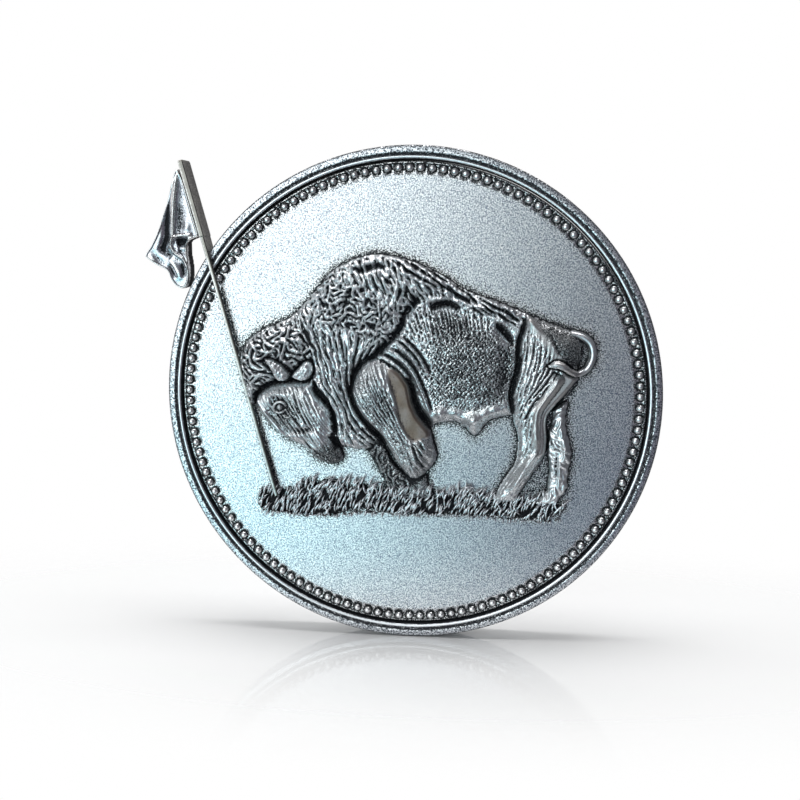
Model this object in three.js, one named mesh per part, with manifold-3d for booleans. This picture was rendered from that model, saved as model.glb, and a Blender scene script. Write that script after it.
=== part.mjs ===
// Challenge coin: a struck disc in a rim ring, with a strip of beads let in round its border. On its
// face a bison stands on turf, beside a lance whose guidon hangs out past the coin's edge.
// Millimetres. The design is drawn face up: X to the right, Y up the design, Z out of the face,
// with the origin on the coin's axis at the flat of the back. The exported group is turned a
// quarter turn about X, so the coin stands on its edge with its face towards -Y and +Z up.
import * as THREE from "three";
import { mergeVertices } from "three/addons/utils/BufferGeometryUtils.js";
import Module from "manifold-3d";

const wasm = await Module();
wasm.setup();

// ---- Driving dimensions ----

const COIN_RADIUS = 25.4; // a two inch coin
const COIN_SEGMENTS = 104; // facets round the edge, one of them square to the ground
const FIELD_Z = 2.3; // the face's flat field, above the flat of the back at 0
const CHANNEL_Z = 2.0; // floor of the channel that the strip of beads is let into
const LIP_Z = 2.36; // the disc's lip, outside that channel
const RIM_Z = 2.82; // top of the rim ring on the face
const BACK_RIM_Z = -0.4; // the rim ring stands proud of the back's flat

const FIELD_RADIUS = 22.75; // where the field ends and the channel starts
const LIP_RADIUS = 23.66; // inside of the disc's lip
const DISC_RADIUS = 23.92;
const RING_BORE = 24.04; // the disc sits in the ring with a narrow groove between them
const RIDGE_RADIUS = 24.32; // crest of the fine ridge inside the rim
const LAND_RADIUS = 24.95; // crest of the rim's broad outer land

const BEAD_COUNT = 130;
const BEAD_CIRCLE_RADIUS = 23.2;
const BEAD_RADIUS = 0.42;
const BEAD_TOP_Z = 2.66;
const BEAD_SIDES = 6;
const STRIP_WIDTH = 0.78; // the flat strip that joins the beads
const STRIP_HEIGHT = 0.2;

const SEAT_GAP = 0.04; // clearance left wherever one piece is seated against another

const RELIEF_CELL = 0.85; // spacing of the grid that the bison's and guidon's surfaces are built on

const TURF_Z = 3.1; // top of the turf
const LANCE_Z = 3.34; // front of the lance
const LANCE_WIDTH = 0.44;
const LANCE_HEAD_WIDTH = 0.62; // the stouter length that carries the guidon
const LANCE_BACK_Z = 0.8; // outside the coin's edge the lance is a deep bar
const LANCE_FOOT = new THREE.Vector2(-13.95, -10.35);
const LANCE_TOP = new THREE.Vector2(-23.1, 23.95);
const GUIDON_BACK_Z = 0.8;
const GUIDON_Z = 2.45; // the cloth's general level, before its folds

// ---- Outlines, each a closed smooth curve through hand-set points ----

const BODY = [
  [-17.55, 4.1], [-16.6, 5.85], [-14.6, 7.15], [-12.2, 8.05], [-10.9, 9.6], [-9.3, 11.5],
  [-7.7, 13.05], [-5.2, 14.25], [-2.6, 14.6], [0.4, 14.0], [3.4, 12.45], [6.0, 11.0],
  [9.2, 9.85], [12.0, 8.85], [14.5, 7.75], [16.7, 6.65], [17.25, 5.2], [16.7, 3.2], [16.6, 1.5],
  [14.3, -0.6], [12.0, -1.3], [9.2, -1.65], [7.6, -2.7], [6.7, -3.65], [5.7, -2.7], [4.2, -2.05],
  [2.1, -2.3], [1.0, -4.6], [-2.6, -5.6], [-4.4, -5.25], [-6.2, -4.9], [-8.0, -4.4],
  [-10.5, -3.9], [-13.2, -3.2], [-15.9, -1.1], [-16.9, 0.1], [-17.4, 2.1],
];
const HUMP = [
  [-10.6, 8.0], [-8.6, 11.4], [-5.6, 13.6], [-2.2, 14.0], [1.6, 12.8], [3.6, 10.6], [1.6, 8.4],
  [-0.9, 6.6], [-2.6, 4.2], [-5.6, 2.0], [-6.6, -2.0], [-5.6, -4.7], [-8.2, -2.2], [-9.6, 2.2],
];
const FLANK = [
  [0.6, 9.4], [5.0, 9.2], [9.4, 8.0], [10.8, 4.6], [10.2, 0.4], [6.6, -1.4], [2.4, -1.6],
  [0.8, 2.0], [-1.4, 5.6],
];
const FORELOCK = [
  [-17.4, 4.0], [-15.6, 6.3], [-12.8, 7.4], [-10.4, 6.6], [-9.4, 4.0], [-9.6, 1.6], [-12.0, 1.6],
  [-14.8, 1.0], [-16.4, -0.6], [-17.2, 1.4],
];
const FACE = [
  [-15.8, -0.9], [-14.6, -2.4], [-13.0, -3.9], [-11.1, -4.65], [-9.7, -6.15], [-8.2, -6.8],
  [-6.95, -6.5], [-6.95, -5.4], [-7.6, -4.3], [-7.75, -2.8], [-8.2, -1.0], [-9.5, 0.6],
  [-10.2, 1.75], [-12.4, 1.65], [-14.6, 0.95], [-15.7, 0.1],
];
const FORELEG = [
  [-3.4, 4.3], [-5.2, 3.1], [-5.95, 1.0], [-5.6, -0.9], [-4.2, -2.6], [-2.6, -4.3], [-1.6, -6.3],
  [-0.5, -7.8], [0.8, -8.2], [2.1, -7.2], [2.75, -5.9], [2.4, -4.2], [1.2, -1.9], [0.3, -0.4],
  [-0.1, 1.6], [-1.0, 3.1],
];
const FAR_FORELEG = [
  [-5.6, -3.6], [-4.4, -5.3], [-3.5, -6.8], [-2.6, -8.2], [-1.9, -10.6], [2.1, -10.6],
  [1.95, -8.2], [0.6, -5.0], [-2.4, -2.2],
];
const HIND_LEG = [
  [12.0, 8.55], [14.5, 7.7], [16.6, 6.55], [17.2, 5.0], [16.7, 3.3], [16.8, 1.8], [15.9, 0.2],
  [14.4, -1.6], [14.0, -3.6], [13.75, -5.6], [12.4, -7.7], [10.9, -10.4], [8.9, -10.4],
  [10.2, -8.0], [11.1, -6.0], [11.2, -3.9], [10.55, -1.2], [10.45, 0.9], [11.05, 3.8],
  [11.3, 6.8],
];
const FAR_HIND_LEG = [
  [15.9, -0.4], [15.8, -2.0], [16.3, -4.2], [16.45, -5.4], [16.2, -7.4], [16.2, -8.8],
  [15.0, -10.9], [13.0, -10.9], [14.1, -9.0], [14.3, -6.6], [14.2, -3.8], [14.6, -2.0],
  [14.6, 0.4],
];
const HORN = [[-14.8, 4.05], [-13.5, 3.9], [-12.3, 2.5], [-12.6, 1.8], [-13.6, 2.0], [-14.2, 3.1]];
const EAR = [[-11.8, 2.4], [-10.9, 3.6], [-10.15, 3.8], [-10.1, 2.6], [-10.9, 1.85]];
const TAIL = [
  [16.3, 6.75], [17.5, 6.5], [18.3, 5.55], [18.4, 4.5], [17.9, 3.35], [17.0, 2.85], [16.1, 3.05],
  [15.3, 3.6], [14.1, 3.85],
];
const TAIL_RADIUS = 0.33;

const GUIDON = [
  [-23.45, 23.0], [-24.4, 21.0], [-25.3, 18.6], [-26.3, 16.0], [-27.4, 14.45], [-26.4, 13.7],
  [-25.1, 12.9], [-24.5, 11.75], [-23.6, 11.15], [-22.95, 11.6], [-22.75, 12.9], [-23.0, 14.6],
  [-22.8, 16.1], [-21.4, 16.35],
];

// ---- Colours and finishes ----

const silver = (color, roughness) =>
  new THREE.MeshStandardMaterial({ color, roughness, metalness: 1 });
const FINISHES = {
  coin_disc: silver(0xb9c4ca, 0.5),
  rim_ring: silver(0xa4abb0, 0.4),
  bead_border: silver(0x7d828a, 0.35),
  bison: silver(0x77757a, 0.42),
  turf: silver(0x5f5e66, 0.5),
  lance: silver(0x8c867f, 0.38),
  guidon: silver(0x7d7f88, 0.32),
};

// ---- Solids from three.js geometry, and back ----

function solidOf(geometry) {
  const bare = geometry.index ? geometry.toNonIndexed() : geometry.clone();
  bare.deleteAttribute("normal");
  bare.deleteAttribute("uv");
  const merged = mergeVertices(bare, 1e-4);
  return new wasm.Manifold(
    new wasm.Mesh({
      numProp: 3,
      vertProperties: merged.attributes.position.array,
      triVerts: new Uint32Array(merged.index.array),
    }),
  );
}

function meshOf(name, solid) {
  const { numProp, numVert, vertProperties, triVerts } = solid.getMesh();
  const positions = new Float32Array(numVert * 3);
  for (let i = 0; i < numVert; i++)
    positions.set(vertProperties.subarray(i * numProp, i * numProp + 3), i * 3);
  const geometry = new THREE.BufferGeometry();
  geometry.setAttribute("position", new THREE.BufferAttribute(positions, 3));
  geometry.setIndex(new THREE.BufferAttribute(triVerts, 1));
  geometry.computeVertexNormals();
  const mesh = new THREE.Mesh(geometry, FINISHES[name]);
  mesh.name = name;
  return mesh;
}

// A closed smooth outline as a list of points, about a step apart.
function smoothOutline(points, stepsPerSpan = 2) {
  const curve = new THREE.CatmullRomCurve3(
    points.map(([x, y]) => new THREE.Vector3(x, y, 0)),
    true,
  );
  return curve
    .getPoints(points.length * stepsPerSpan)
    .slice(0, -1)
    .map((p) => new THREE.Vector2(p.x, p.y));
}

function prism(outline, low, high) {
  const geometry = new THREE.ExtrudeGeometry(new THREE.Shape(outline), {
    depth: high - low,
    bevelEnabled: false,
  });
  return solidOf(geometry.translate(0, 0, low));
}

// ---- Relief surfaces ----

// How far a point lies inside a closed outline; negative outside it.
function insideDistance(x, y, outline) {
  let nearest = Infinity;
  let inside = false;
  for (let i = 0, j = outline.length - 1; i < outline.length; j = i++) {
    const a = outline[j];
    const b = outline[i];
    const dx = b.x - a.x;
    const dy = b.y - a.y;
    const along = ((x - a.x) * dx + (y - a.y) * dy) / (dx * dx + dy * dy);
    const t = Math.min(1, Math.max(0, along));
    nearest = Math.min(nearest, Math.hypot(x - a.x - t * dx, y - a.y - t * dy));
    if (a.y > y !== b.y > y && x < a.x + ((y - a.y) / dy) * dx) inside = !inside;
  }
  return inside ? nearest : -nearest;
}

// A dome over an outline: it rises from its edge over the given width, round as a quarter circle.
function dome(outline, rise, width) {
  return (x, y) => {
    const inward = Math.min(1, Math.max(0, insideDistance(x, y, outline) / width));
    return rise * Math.sqrt(1 - (1 - inward) ** 2);
  };
}

// A block whose top follows a height function, over a box that covers the outline.
function reliefBlock(outline, low, heightAt, cell = RELIEF_CELL) {
  const box = new THREE.Box2().setFromPoints(outline).expandByScalar(cell);
  const size = box.getSize(new THREE.Vector2());
  const centre = box.getCenter(new THREE.Vector2());
  const columns = Math.ceil(size.x / cell);
  const rows = Math.ceil(size.y / cell);
  const geometry = new THREE.BoxGeometry(size.x, size.y, 1, columns, rows, 1);
  const position = geometry.attributes.position;
  for (let i = 0; i < position.count; i++) {
    const x = position.getX(i) + centre.x;
    const y = position.getY(i) + centre.y;
    position.setXYZ(i, x, y, position.getZ(i) > 0 ? heightAt(x, y) : low);
  }
  return solidOf(geometry);
}

// ---- The disc, the rim ring round it and the strip of beads ----

// A turned piece from its half section, with the lathe's axis laid along Z.
function turned(section) {
  const profile = section.map(([radius, height]) => new THREE.Vector2(radius, height));
  return solidOf(
    new THREE.LatheGeometry(profile, COIN_SEGMENTS)
      .rotateY(Math.PI / COIN_SEGMENTS)
      .rotateX(Math.PI / 2),
  );
}

function coinDisc() {
  return turned([
    [0, 0],
    [DISC_RADIUS, 0],
    [DISC_RADIUS, LIP_Z - 0.15],
    [DISC_RADIUS - 0.1, LIP_Z],
    [LIP_RADIUS, LIP_Z],
    [LIP_RADIUS, CHANNEL_Z],
    [FIELD_RADIUS, CHANNEL_Z],
    [FIELD_RADIUS - 0.05, FIELD_Z],
    [0, FIELD_Z],
  ]);
}

function rimRing() {
  return turned([
    [RING_BORE, BACK_RIM_Z],
    [COIN_RADIUS - 0.4, BACK_RIM_Z],
    [COIN_RADIUS, BACK_RIM_Z + 0.4],
    [COIN_RADIUS, RIM_Z - 0.65],
    [COIN_RADIUS - 0.12, RIM_Z - 0.3],
    [LAND_RADIUS, RIM_Z],
    [RIDGE_RADIUS + 0.3, RIM_Z - 0.12],
    [RIDGE_RADIUS, RIM_Z],
    [RING_BORE, RIM_Z - 0.35],
    [RING_BORE, BACK_RIM_Z],
  ]);
}

// The beads, each a low six-sided stud, on the flat strip that joins them.
function beadBorder() {
  const floor = CHANNEL_Z + SEAT_GAP;
  const strip = turned([
    [BEAD_CIRCLE_RADIUS - STRIP_WIDTH / 2, floor],
    [BEAD_CIRCLE_RADIUS + STRIP_WIDTH / 2, floor],
    [BEAD_CIRCLE_RADIUS + STRIP_WIDTH / 2, floor + STRIP_HEIGHT],
    [BEAD_CIRCLE_RADIUS - STRIP_WIDTH / 2, floor + STRIP_HEIGHT],
    [BEAD_CIRCLE_RADIUS - STRIP_WIDTH / 2, floor],
  ]);
  const base = floor + STRIP_HEIGHT / 2;
  const height = BEAD_TOP_Z - base;
  const studs = [];
  for (let i = 0; i < BEAD_COUNT; i++) {
    const angle = (i / BEAD_COUNT) * 2 * Math.PI;
    const stud = new THREE.CylinderGeometry(BEAD_RADIUS * 0.45, BEAD_RADIUS, height, BEAD_SIDES)
      .rotateX(Math.PI / 2)
      .rotateZ(angle)
      .translate(
        BEAD_CIRCLE_RADIUS * Math.cos(angle),
        BEAD_CIRCLE_RADIUS * Math.sin(angle),
        base + height / 2,
      );
    studs.push(solidOf(stud));
  }
  return strip.add(wasm.Manifold.union(studs));
}

// ---- The bison ----

const SEAT_Z = FIELD_Z + SEAT_GAP; // underside of everything fixed to the face

// Each part of the animal: its outline, how high it stands off the field, and how fast it rounds.
const BISON_PARTS = [
  { outline: BODY, rise: 0.85, width: 1.6 },
  { outline: HUMP, rise: 1.3, width: 3.4 },
  { outline: FLANK, rise: 1.25, width: 4.2 },
  { outline: FORELOCK, rise: 1.45, width: 2.4 },
  { outline: FACE, rise: 1.6, width: 2.2 },
  { outline: FORELEG, rise: 1.7, width: 2.2 },
  { outline: FAR_FORELEG, rise: 0.75, width: 1.2 },
  { outline: HIND_LEG, rise: 1.55, width: 2.0 },
  { outline: FAR_HIND_LEG, rise: 0.9, width: 1.0 },
];
const BISON_EDGE = 0.35; // height of the wall at the animal's outline

function bison() {
  const parts = BISON_PARTS.map((part) => ({ ...part, outline: smoothOutline(part.outline) }));
  const domes = parts.map((part) => dome(part.outline, part.rise, part.width));
  const surface = (x, y) =>
    FIELD_Z + BISON_EDGE + Math.max(...domes.map((heightAt) => heightAt(x, y)));
  const figure = wasm.Manifold.union(
    [BODY, FACE, FORELEG, FAR_FORELEG, HIND_LEG, FAR_HIND_LEG].map((points) =>
      prism(smoothOutline(points), SEAT_Z, FIELD_Z + 3),
    ),
  );
  const everyPoint = parts.flatMap((part) => part.outline);
  const block = reliefBlock(everyPoint, FIELD_Z - 0.5, surface);
  const horn = prism(smoothOutline(HORN, 1), SEAT_Z, FIELD_Z + 2.05);
  const ear = prism(smoothOutline(EAR, 1), SEAT_Z, FIELD_Z + 1.95);
  return figure.intersect(block).add(horn).add(ear).add(tail());
}

// The tail, a round cord of one thickness curled beside the rump.
function tail() {
  const half = TAIL_RADIUS;
  const route = new THREE.CatmullRomCurve3(
    TAIL.map(([x, y], i) => new THREE.Vector3(x, y, FIELD_Z + (i < TAIL.length - 2 ? 0.7 : 1.5))),
  );
  const section = new THREE.Shape();
  section.absarc(0, 0, half, 0, 2 * Math.PI);
  const rope = new THREE.ExtrudeGeometry(section, {
    steps: 22,
    curveSegments: 4,
    bevelEnabled: false,
    extrudePath: route,
  });
  // a web under the cord joins it to the field
  const left = [];
  const right = [];
  for (let i = 0; i <= 22; i++) {
    const point = route.getPointAt(i / 22);
    const ahead = route.getTangentAt(i / 22);
    const across = new THREE.Vector2(-ahead.y, ahead.x).setLength(half * 0.8);
    left.push(new THREE.Vector2(point.x + across.x, point.y + across.y));
    right.unshift(new THREE.Vector2(point.x - across.x, point.y - across.y));
  }
  return solidOf(rope).add(prism([...left, ...right], SEAT_Z, FIELD_Z + 0.7));
}

// ---- The turf ----

const TURF_LEFT = -15.9;
const TURF_RIGHT = 15.6;
const TURF_TOP = -10.1;
const TURF_BOTTOM = -12.1;
const TURF_BLADES = 34;

// A ragged strip of grass: blades of uneven height along the top, a broken edge below.
// Clearance lifts its tips and front, as a cutter for the feet that stand in it.
function turf(clearance = 0) {
  const uneven = (i) => Math.abs(Math.sin(i * 12.9898) * 43758.5453) % 1;
  const pitch = (TURF_RIGHT - TURF_LEFT) / TURF_BLADES;
  const outline = [];
  for (let i = 0; i < TURF_BLADES; i++) {
    const x = TURF_LEFT + i * pitch;
    const knoll = 0.9 * Math.exp(-(((x + 8.5) / 3.2) ** 2));
    const tip = TURF_TOP + 0.25 + knoll + 0.5 * uneven(i);
    outline.push(new THREE.Vector2(x, TURF_TOP - 0.25 + knoll + clearance));
    outline.push(new THREE.Vector2(x + pitch * 0.7, tip + clearance));
  }
  outline.push(new THREE.Vector2(TURF_RIGHT + 1.3, TURF_TOP - 0.1 + clearance));
  for (let i = TURF_BLADES; i >= 0; i -= 2)
    outline.push(new THREE.Vector2(TURF_LEFT + i * pitch, TURF_BOTTOM - 0.4 * uneven(i + 50)));
  return prism(outline, SEAT_Z - clearance, TURF_Z + clearance);
}

// ---- The lance and its guidon ----

// A bar along the lance's line, from one distance to another past its foot.
function lanceBar(from, to, width, low, high) {
  const along = LANCE_TOP.clone().sub(LANCE_FOOT);
  const turn = Math.atan2(along.y, along.x);
  const bevel = 0.12;
  const section = new THREE.Shape([
    new THREE.Vector2(-width / 2, low),
    new THREE.Vector2(width / 2, low),
    new THREE.Vector2(width / 2, high - bevel),
    new THREE.Vector2(width / 2 - bevel, high),
    new THREE.Vector2(bevel - width / 2, high),
    new THREE.Vector2(-width / 2, high - bevel),
  ]);
  const bar = new THREE.ExtrudeGeometry(section, { depth: to - from, bevelEnabled: false });
  return solidOf(
    bar
      .translate(0, 0, from)
      .rotateX(-Math.PI / 2)
      .rotateY(Math.PI)
      .rotateZ(turn - Math.PI / 2)
      .translate(LANCE_FOOT.x, LANCE_FOOT.y, 0),
  );
}

const LANCE_LENGTH = LANCE_TOP.distanceTo(LANCE_FOOT);
const LANCE_OUTSIDE = 25.5; // how far up its length the lance has left the coin's edge
const LANCE_HEAD = 27.8; // how far up its stouter head starts

// The lance; clearance makes it that much wider each side, as a cutter for what it meets.
function lance(clearance = 0) {
  const width = LANCE_WIDTH + 2 * clearance;
  const headWidth = LANCE_HEAD_WIDTH + 2 * clearance;
  const low = LANCE_BACK_Z - clearance;
  const high = LANCE_Z + clearance;
  return lanceBar(-clearance, LANCE_LENGTH, width, SEAT_Z, high)
    .add(lanceBar(LANCE_OUTSIDE, LANCE_LENGTH, width, low, high))
    .add(lanceBar(LANCE_HEAD, LANCE_LENGTH, headWidth, low, high + 0.06));
}

// Folds of the hanging cloth: crests that run down from the lance's tip, one across the hem.
function clothFolds(x, y) {
  const drop = Math.min(1, Math.max(0, (22.9 - y) / 8));
  const across = (x + 23.5 + 0.42 * (22.9 - y)) / (0.4 + 0.5 * (22.9 - y));
  return GUIDON_Z + 0.55 * drop * Math.cos(across * 2.6 * Math.PI) - 0.15 * drop;
}

function guidon() {
  const outline = smoothOutline(GUIDON);
  const block = reliefBlock(outline, GUIDON_BACK_Z, clothFolds, 0.6);
  return prism(outline, GUIDON_BACK_Z, LANCE_Z).intersect(block);
}

// ---- Assembly: each piece is cut clear of the ones it is seated against ----

const discSolid = coinDisc();
const ringSolid = rimRing();
const beadSolid = beadBorder();
const lanceSolid = lance().subtract(discSolid).subtract(ringSolid).subtract(beadSolid);
const lanceRoom = lance(SEAT_GAP);
const turfSolid = turf().subtract(lanceRoom);
const bisonSolid = bison().subtract(lanceRoom).subtract(turf(SEAT_GAP));
const guidonSolid = guidon().subtract(lanceRoom);

const coin = new THREE.Group();
coin.add(
  meshOf("coin_disc", discSolid),
  meshOf("rim_ring", ringSolid),
  meshOf("bead_border", beadSolid),
  meshOf("bison", bisonSolid),
  meshOf("turf", turfSolid),
  meshOf("lance", lanceSolid),
  meshOf("guidon", guidonSolid),
);
coin.rotation.x = Math.PI / 2;

const standing = new THREE.Group();
standing.add(coin);

export default standing;
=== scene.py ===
"""An antique silver challenge coin: a bison in high relief on a sandblasted field.

The design is drawn in millimetres on the coin's face, u to the right and v up, with heights above
the field towards the viewer. place() turns that into the frame's metres.
"""
import math
from types import SimpleNamespace

import bmesh
import bpy
import numpy as np
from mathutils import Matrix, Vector
from mathutils.geometry import tessellate_polygon


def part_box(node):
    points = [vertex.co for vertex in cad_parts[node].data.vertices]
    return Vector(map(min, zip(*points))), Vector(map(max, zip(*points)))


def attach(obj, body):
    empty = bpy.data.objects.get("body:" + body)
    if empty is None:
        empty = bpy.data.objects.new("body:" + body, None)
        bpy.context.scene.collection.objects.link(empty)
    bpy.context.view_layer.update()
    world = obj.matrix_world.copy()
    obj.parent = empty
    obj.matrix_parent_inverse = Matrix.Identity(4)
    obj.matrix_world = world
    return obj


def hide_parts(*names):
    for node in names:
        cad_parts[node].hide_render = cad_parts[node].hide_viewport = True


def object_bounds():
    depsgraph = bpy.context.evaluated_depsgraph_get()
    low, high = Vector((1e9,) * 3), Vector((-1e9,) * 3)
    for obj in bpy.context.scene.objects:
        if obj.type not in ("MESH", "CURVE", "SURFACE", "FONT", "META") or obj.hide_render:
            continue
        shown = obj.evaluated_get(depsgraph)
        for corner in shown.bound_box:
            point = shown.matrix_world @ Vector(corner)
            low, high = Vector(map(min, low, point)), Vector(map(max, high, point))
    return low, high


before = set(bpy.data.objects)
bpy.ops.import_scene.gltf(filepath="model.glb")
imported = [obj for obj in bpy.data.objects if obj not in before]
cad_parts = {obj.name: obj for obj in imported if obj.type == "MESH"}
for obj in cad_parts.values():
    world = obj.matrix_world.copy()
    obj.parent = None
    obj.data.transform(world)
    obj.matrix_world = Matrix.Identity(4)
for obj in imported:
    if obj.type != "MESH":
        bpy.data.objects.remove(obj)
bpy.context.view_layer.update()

MM = 0.001
SEED = 7

# ---- The design's outlines, closed smooth curves through given points ----

BODY = [
    (-17.55, 4.1), (-16.9, 5.6), (-15.0, 7.1), (-12.6, 8.1), (-11.0, 9.4), (-9.6, 11.0), (-8.0, 12.85),
    (-6.5, 13.8), (-5.0, 14.4), (-3.4, 14.65), (-1.6, 14.5), (1.0, 13.7), (3.4, 12.5), (5.0, 11.5),
    (7.0, 10.6), (9.4, 9.8), (11.9, 8.75), (13.7, 8.05), (15.4, 7.5), (16.7, 6.95), (17.3, 6.0),
    (17.25, 4.6), (16.9, 3.4), (16.6, 1.5), (14.4, -0.6), (12.0, -1.0), (10.3, -1.4), (9.2, -1.6),
    (8.3, -2.0), (7.5, -2.8), (6.75, -3.6), (6.2, -3.3), (5.7, -2.7), (5.0, -2.25), (4.1, -2.15),
    (2.9, -2.4), (2.0, -2.9), (0.6, -4.0), (-2.4, -4.6), (-4.6, -5.1), (-6.0, -5.0), (-7.2, -5.0),
    (-8.6, -4.4), (-11.0, -4.0), (-13.4, -3.0), (-15.4, -1.5), (-16.3, -0.6), (-16.9, 0.4),
    (-17.3, 2.0),
]
HUMP = [
    (-10.9, 8.6), (-9.3, 11.2), (-7.4, 13.1), (-5.0, 14.2), (-2.4, 14.35), (0.4, 13.7), (3.0, 12.4),
    (3.4, 10.9), (1.6, 10.2), (0.2, 9.2), (-0.6, 8.0), (-1.3, 6.6), (-2.2, 5.6), (-3.6, 4.7), (-5.0, 3.6),
    (-6.0, 2.0), (-6.2, 0.2), (-5.9, -1.4), (-4.6, -3.0), (-3.4, -4.4), (-4.6, -5.2), (-6.4, -5.0),
    (-7.4, -4.2), (-7.8, -2.4), (-8.8, -0.2), (-9.8, 1.6), (-9.9, 4.4), (-10.6, 6.4),
]
FLANK = [
    (0.8, 9.6), (3.4, 9.5), (6.4, 9.0), (9.2, 8.2), (10.8, 6.4), (11.0, 4.2), (10.6, 1.8), (10.2, 0.0),
    (8.4, -1.2), (6.6, -1.9), (4.0, -1.6), (2.6, -1.7), (1.9, 0.6), (0.6, 3.4), (-0.8, 5.8),
]
FORELOCK = [
    (-17.45, 4.0), (-16.6, 5.6), (-15.0, 6.9), (-12.8, 7.6), (-11.0, 7.0), (-10.2, 5.4), (-10.0, 3.9),
    (-10.9, 3.3), (-12.2, 2.3), (-13.6, 1.7), (-15.0, 1.1), (-15.8, 0.2), (-16.3, -0.7), (-16.9, 0.2),
    (-17.25, 2.0),
]
FACE = [
    (-15.75, -1.0), (-15.0, -2.1), (-14.2, -3.05), (-13.2, -3.9), (-12.4, -4.4), (-11.5, -4.75),
    (-10.8, -5.15), (-10.2, -5.8), (-9.4, -6.45), (-8.4, -6.75), (-7.4, -6.65), (-6.95, -6.25),
    (-7.15, -5.4), (-7.6, -4.5), (-7.8, -3.4), (-7.9, -2.2), (-8.2, -1.0), (-8.9, -0.1), (-9.6, 0.8),
    (-10.0, 1.75), (-11.2, 1.75), (-12.6, 1.75), (-14.0, 1.4), (-15.1, 0.9), (-15.75, 0.2), (-15.95, -0.5),
]
FORELEG = [
    (-3.5, 4.35), (-4.5, 3.9), (-5.3, 2.9), (-5.8, 1.6), (-5.9, 0.4), (-5.4, -0.9), (-4.4, -2.3),
    (-3.3, -3.3), (-2.5, -4.4), (-1.9, -5.4), (-1.4, -6.3), (-0.6, -7.4), (0.3, -8.1), (1.1, -8.0),
    (2.0, -7.2), (2.6, -6.4), (2.75, -5.6), (2.5, -4.6), (2.25, -3.7), (2.1, -3.1), (1.5, -2.3), (0.9, -1.5),
    (0.4, -0.4), (0.2, 0.6), (-0.1, 1.7), (-0.8, 2.7), (-1.9, 3.6),
]
LOWER_FORELEG = [
    (-0.4, -7.2), (0.6, -7.6), (1.5, -7.6), (1.9, -8.1), (2.0, -8.9), (2.4, -10.3), (-1.4, -10.5),
    (-1.0, -9.2), (-0.7, -8.2),
]
FAR_FORELEG = [
    (-5.4, -3.6), (-4.9, -4.9), (-4.3, -5.4), (-3.8, -6.2), (-3.3, -7.2), (-2.7, -7.9), (-2.45, -8.7),
    (-2.3, -10.4), (-0.2, -10.4), (-0.1, -8.4), (-1.2, -6.2), (-2.2, -4.2), (-3.4, -2.6),
]
HIND_LEG = [
    (11.9, 8.55), (13.4, 8.05), (15.0, 7.55), (16.5, 6.95), (17.25, 6.1), (17.3, 4.9), (16.9, 3.7),
    (17.1, 2.7), (16.6, 1.9), (15.8, 0.85), (14.8, -0.3), (14.1, -1.25), (13.9, -2.2), (14.0, -3.6),
    (13.9, -5.0), (13.5, -6.1), (12.7, -7.3), (12.0, -8.5), (11.3, -9.5), (10.9, -10.3), (8.9, -10.3),
    (9.1, -9.4), (9.7, -8.2), (10.4, -7.2), (10.85, -6.2), (11.1, -5.0), (11.1, -3.6), (10.75, -2.4),
    (10.5, -1.2), (10.35, 0.2), (10.6, 1.9), (11.0, 3.8), (11.05, 5.4), (11.4, 7.2),
]
FAR_HIND_LEG = [
    (15.9, 0.0), (15.85, -1.4), (15.95, -2.8), (16.35, -4.4), (16.5, -5.4), (16.35, -6.8), (16.2, -8.0),
    (16.15, -8.9), (15.5, -9.8), (15.0, -10.6), (12.9, -10.6), (13.6, -9.8), (14.15, -9.0), (14.3, -7.6),
    (14.25, -6.4), (14.1, -4.8), (14.15, -3.2), (14.5, -2.0), (14.6, -0.8),
]
HIND_BONE = [(16.3, 2.9), (14.9, 1.0), (13.5, -0.6), (13.4, -2.4), (13.5, -4.6)]
BARE_STRIP = [
    (-2.1, 3.2), (-1.9, 1.6), (-1.4, 0.2), (-1.1, -1.6), (-0.5, -3.0), (0.4, -4.1), (1.6, -3.9),
    (2.7, -3.3), (1.6, -1.5), (1.0, 0.3), (0.5, 2.0), (-0.7, 3.2),
]
BROW = [(-15.6, -0.3), (-15.0, -1.3), (-14.2, -2.5), (-13.2, -3.6)]
HORN = [(-14.75, 4.05), (-13.9, 4.0), (-13.0, 3.45), (-12.3, 2.45), (-12.6, 1.95), (-13.2, 1.85),
        (-13.7, 2.2), (-14.05, 3.0)]
EAR = [(-11.95, 2.35), (-11.3, 3.2), (-10.6, 3.85), (-10.1, 3.7), (-9.95, 2.9), (-10.3, 2.1),
       (-11.2, 1.9)]
TAIL_RADIUS = 0.33
TAIL = [(16.3, 6.85), (17.3, 6.6), (18.05, 6.0), (18.35, 5.1), (18.25, 4.2), (17.8, 3.4),
        (17.0, 2.95), (16.2, 3.15), (15.6, 3.6), (14.9, 3.9), (14.1, 3.75)]
TAIL_GAP = [(17.25, 5.7), (17.75, 5.5), (18.0, 4.9), (17.95, 4.3), (17.6, 3.7), (17.1, 3.4), (16.95, 3.7),
            (17.2, 4.6)]
GUIDON = [
    (-23.85, 23.2), (-24.6, 21.2), (-25.3, 19.0), (-26.0, 17.0), (-26.7, 15.6), (-27.4, 14.5),
    (-26.9, 13.95), (-25.9, 13.35), (-25.1, 12.9), (-24.75, 12.1), (-24.3, 11.45), (-23.7, 11.15),
    (-23.1, 11.4), (-22.8, 12.3), (-22.8, 13.6), (-22.95, 14.8), (-22.9, 15.9), (-22.2, 16.3),
    (-21.7, 16.6), (-22.1, 18.2), (-22.7, 20.4), (-23.3, 22.4),
]

# ---- Curves, distances and noise on the design ----


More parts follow.
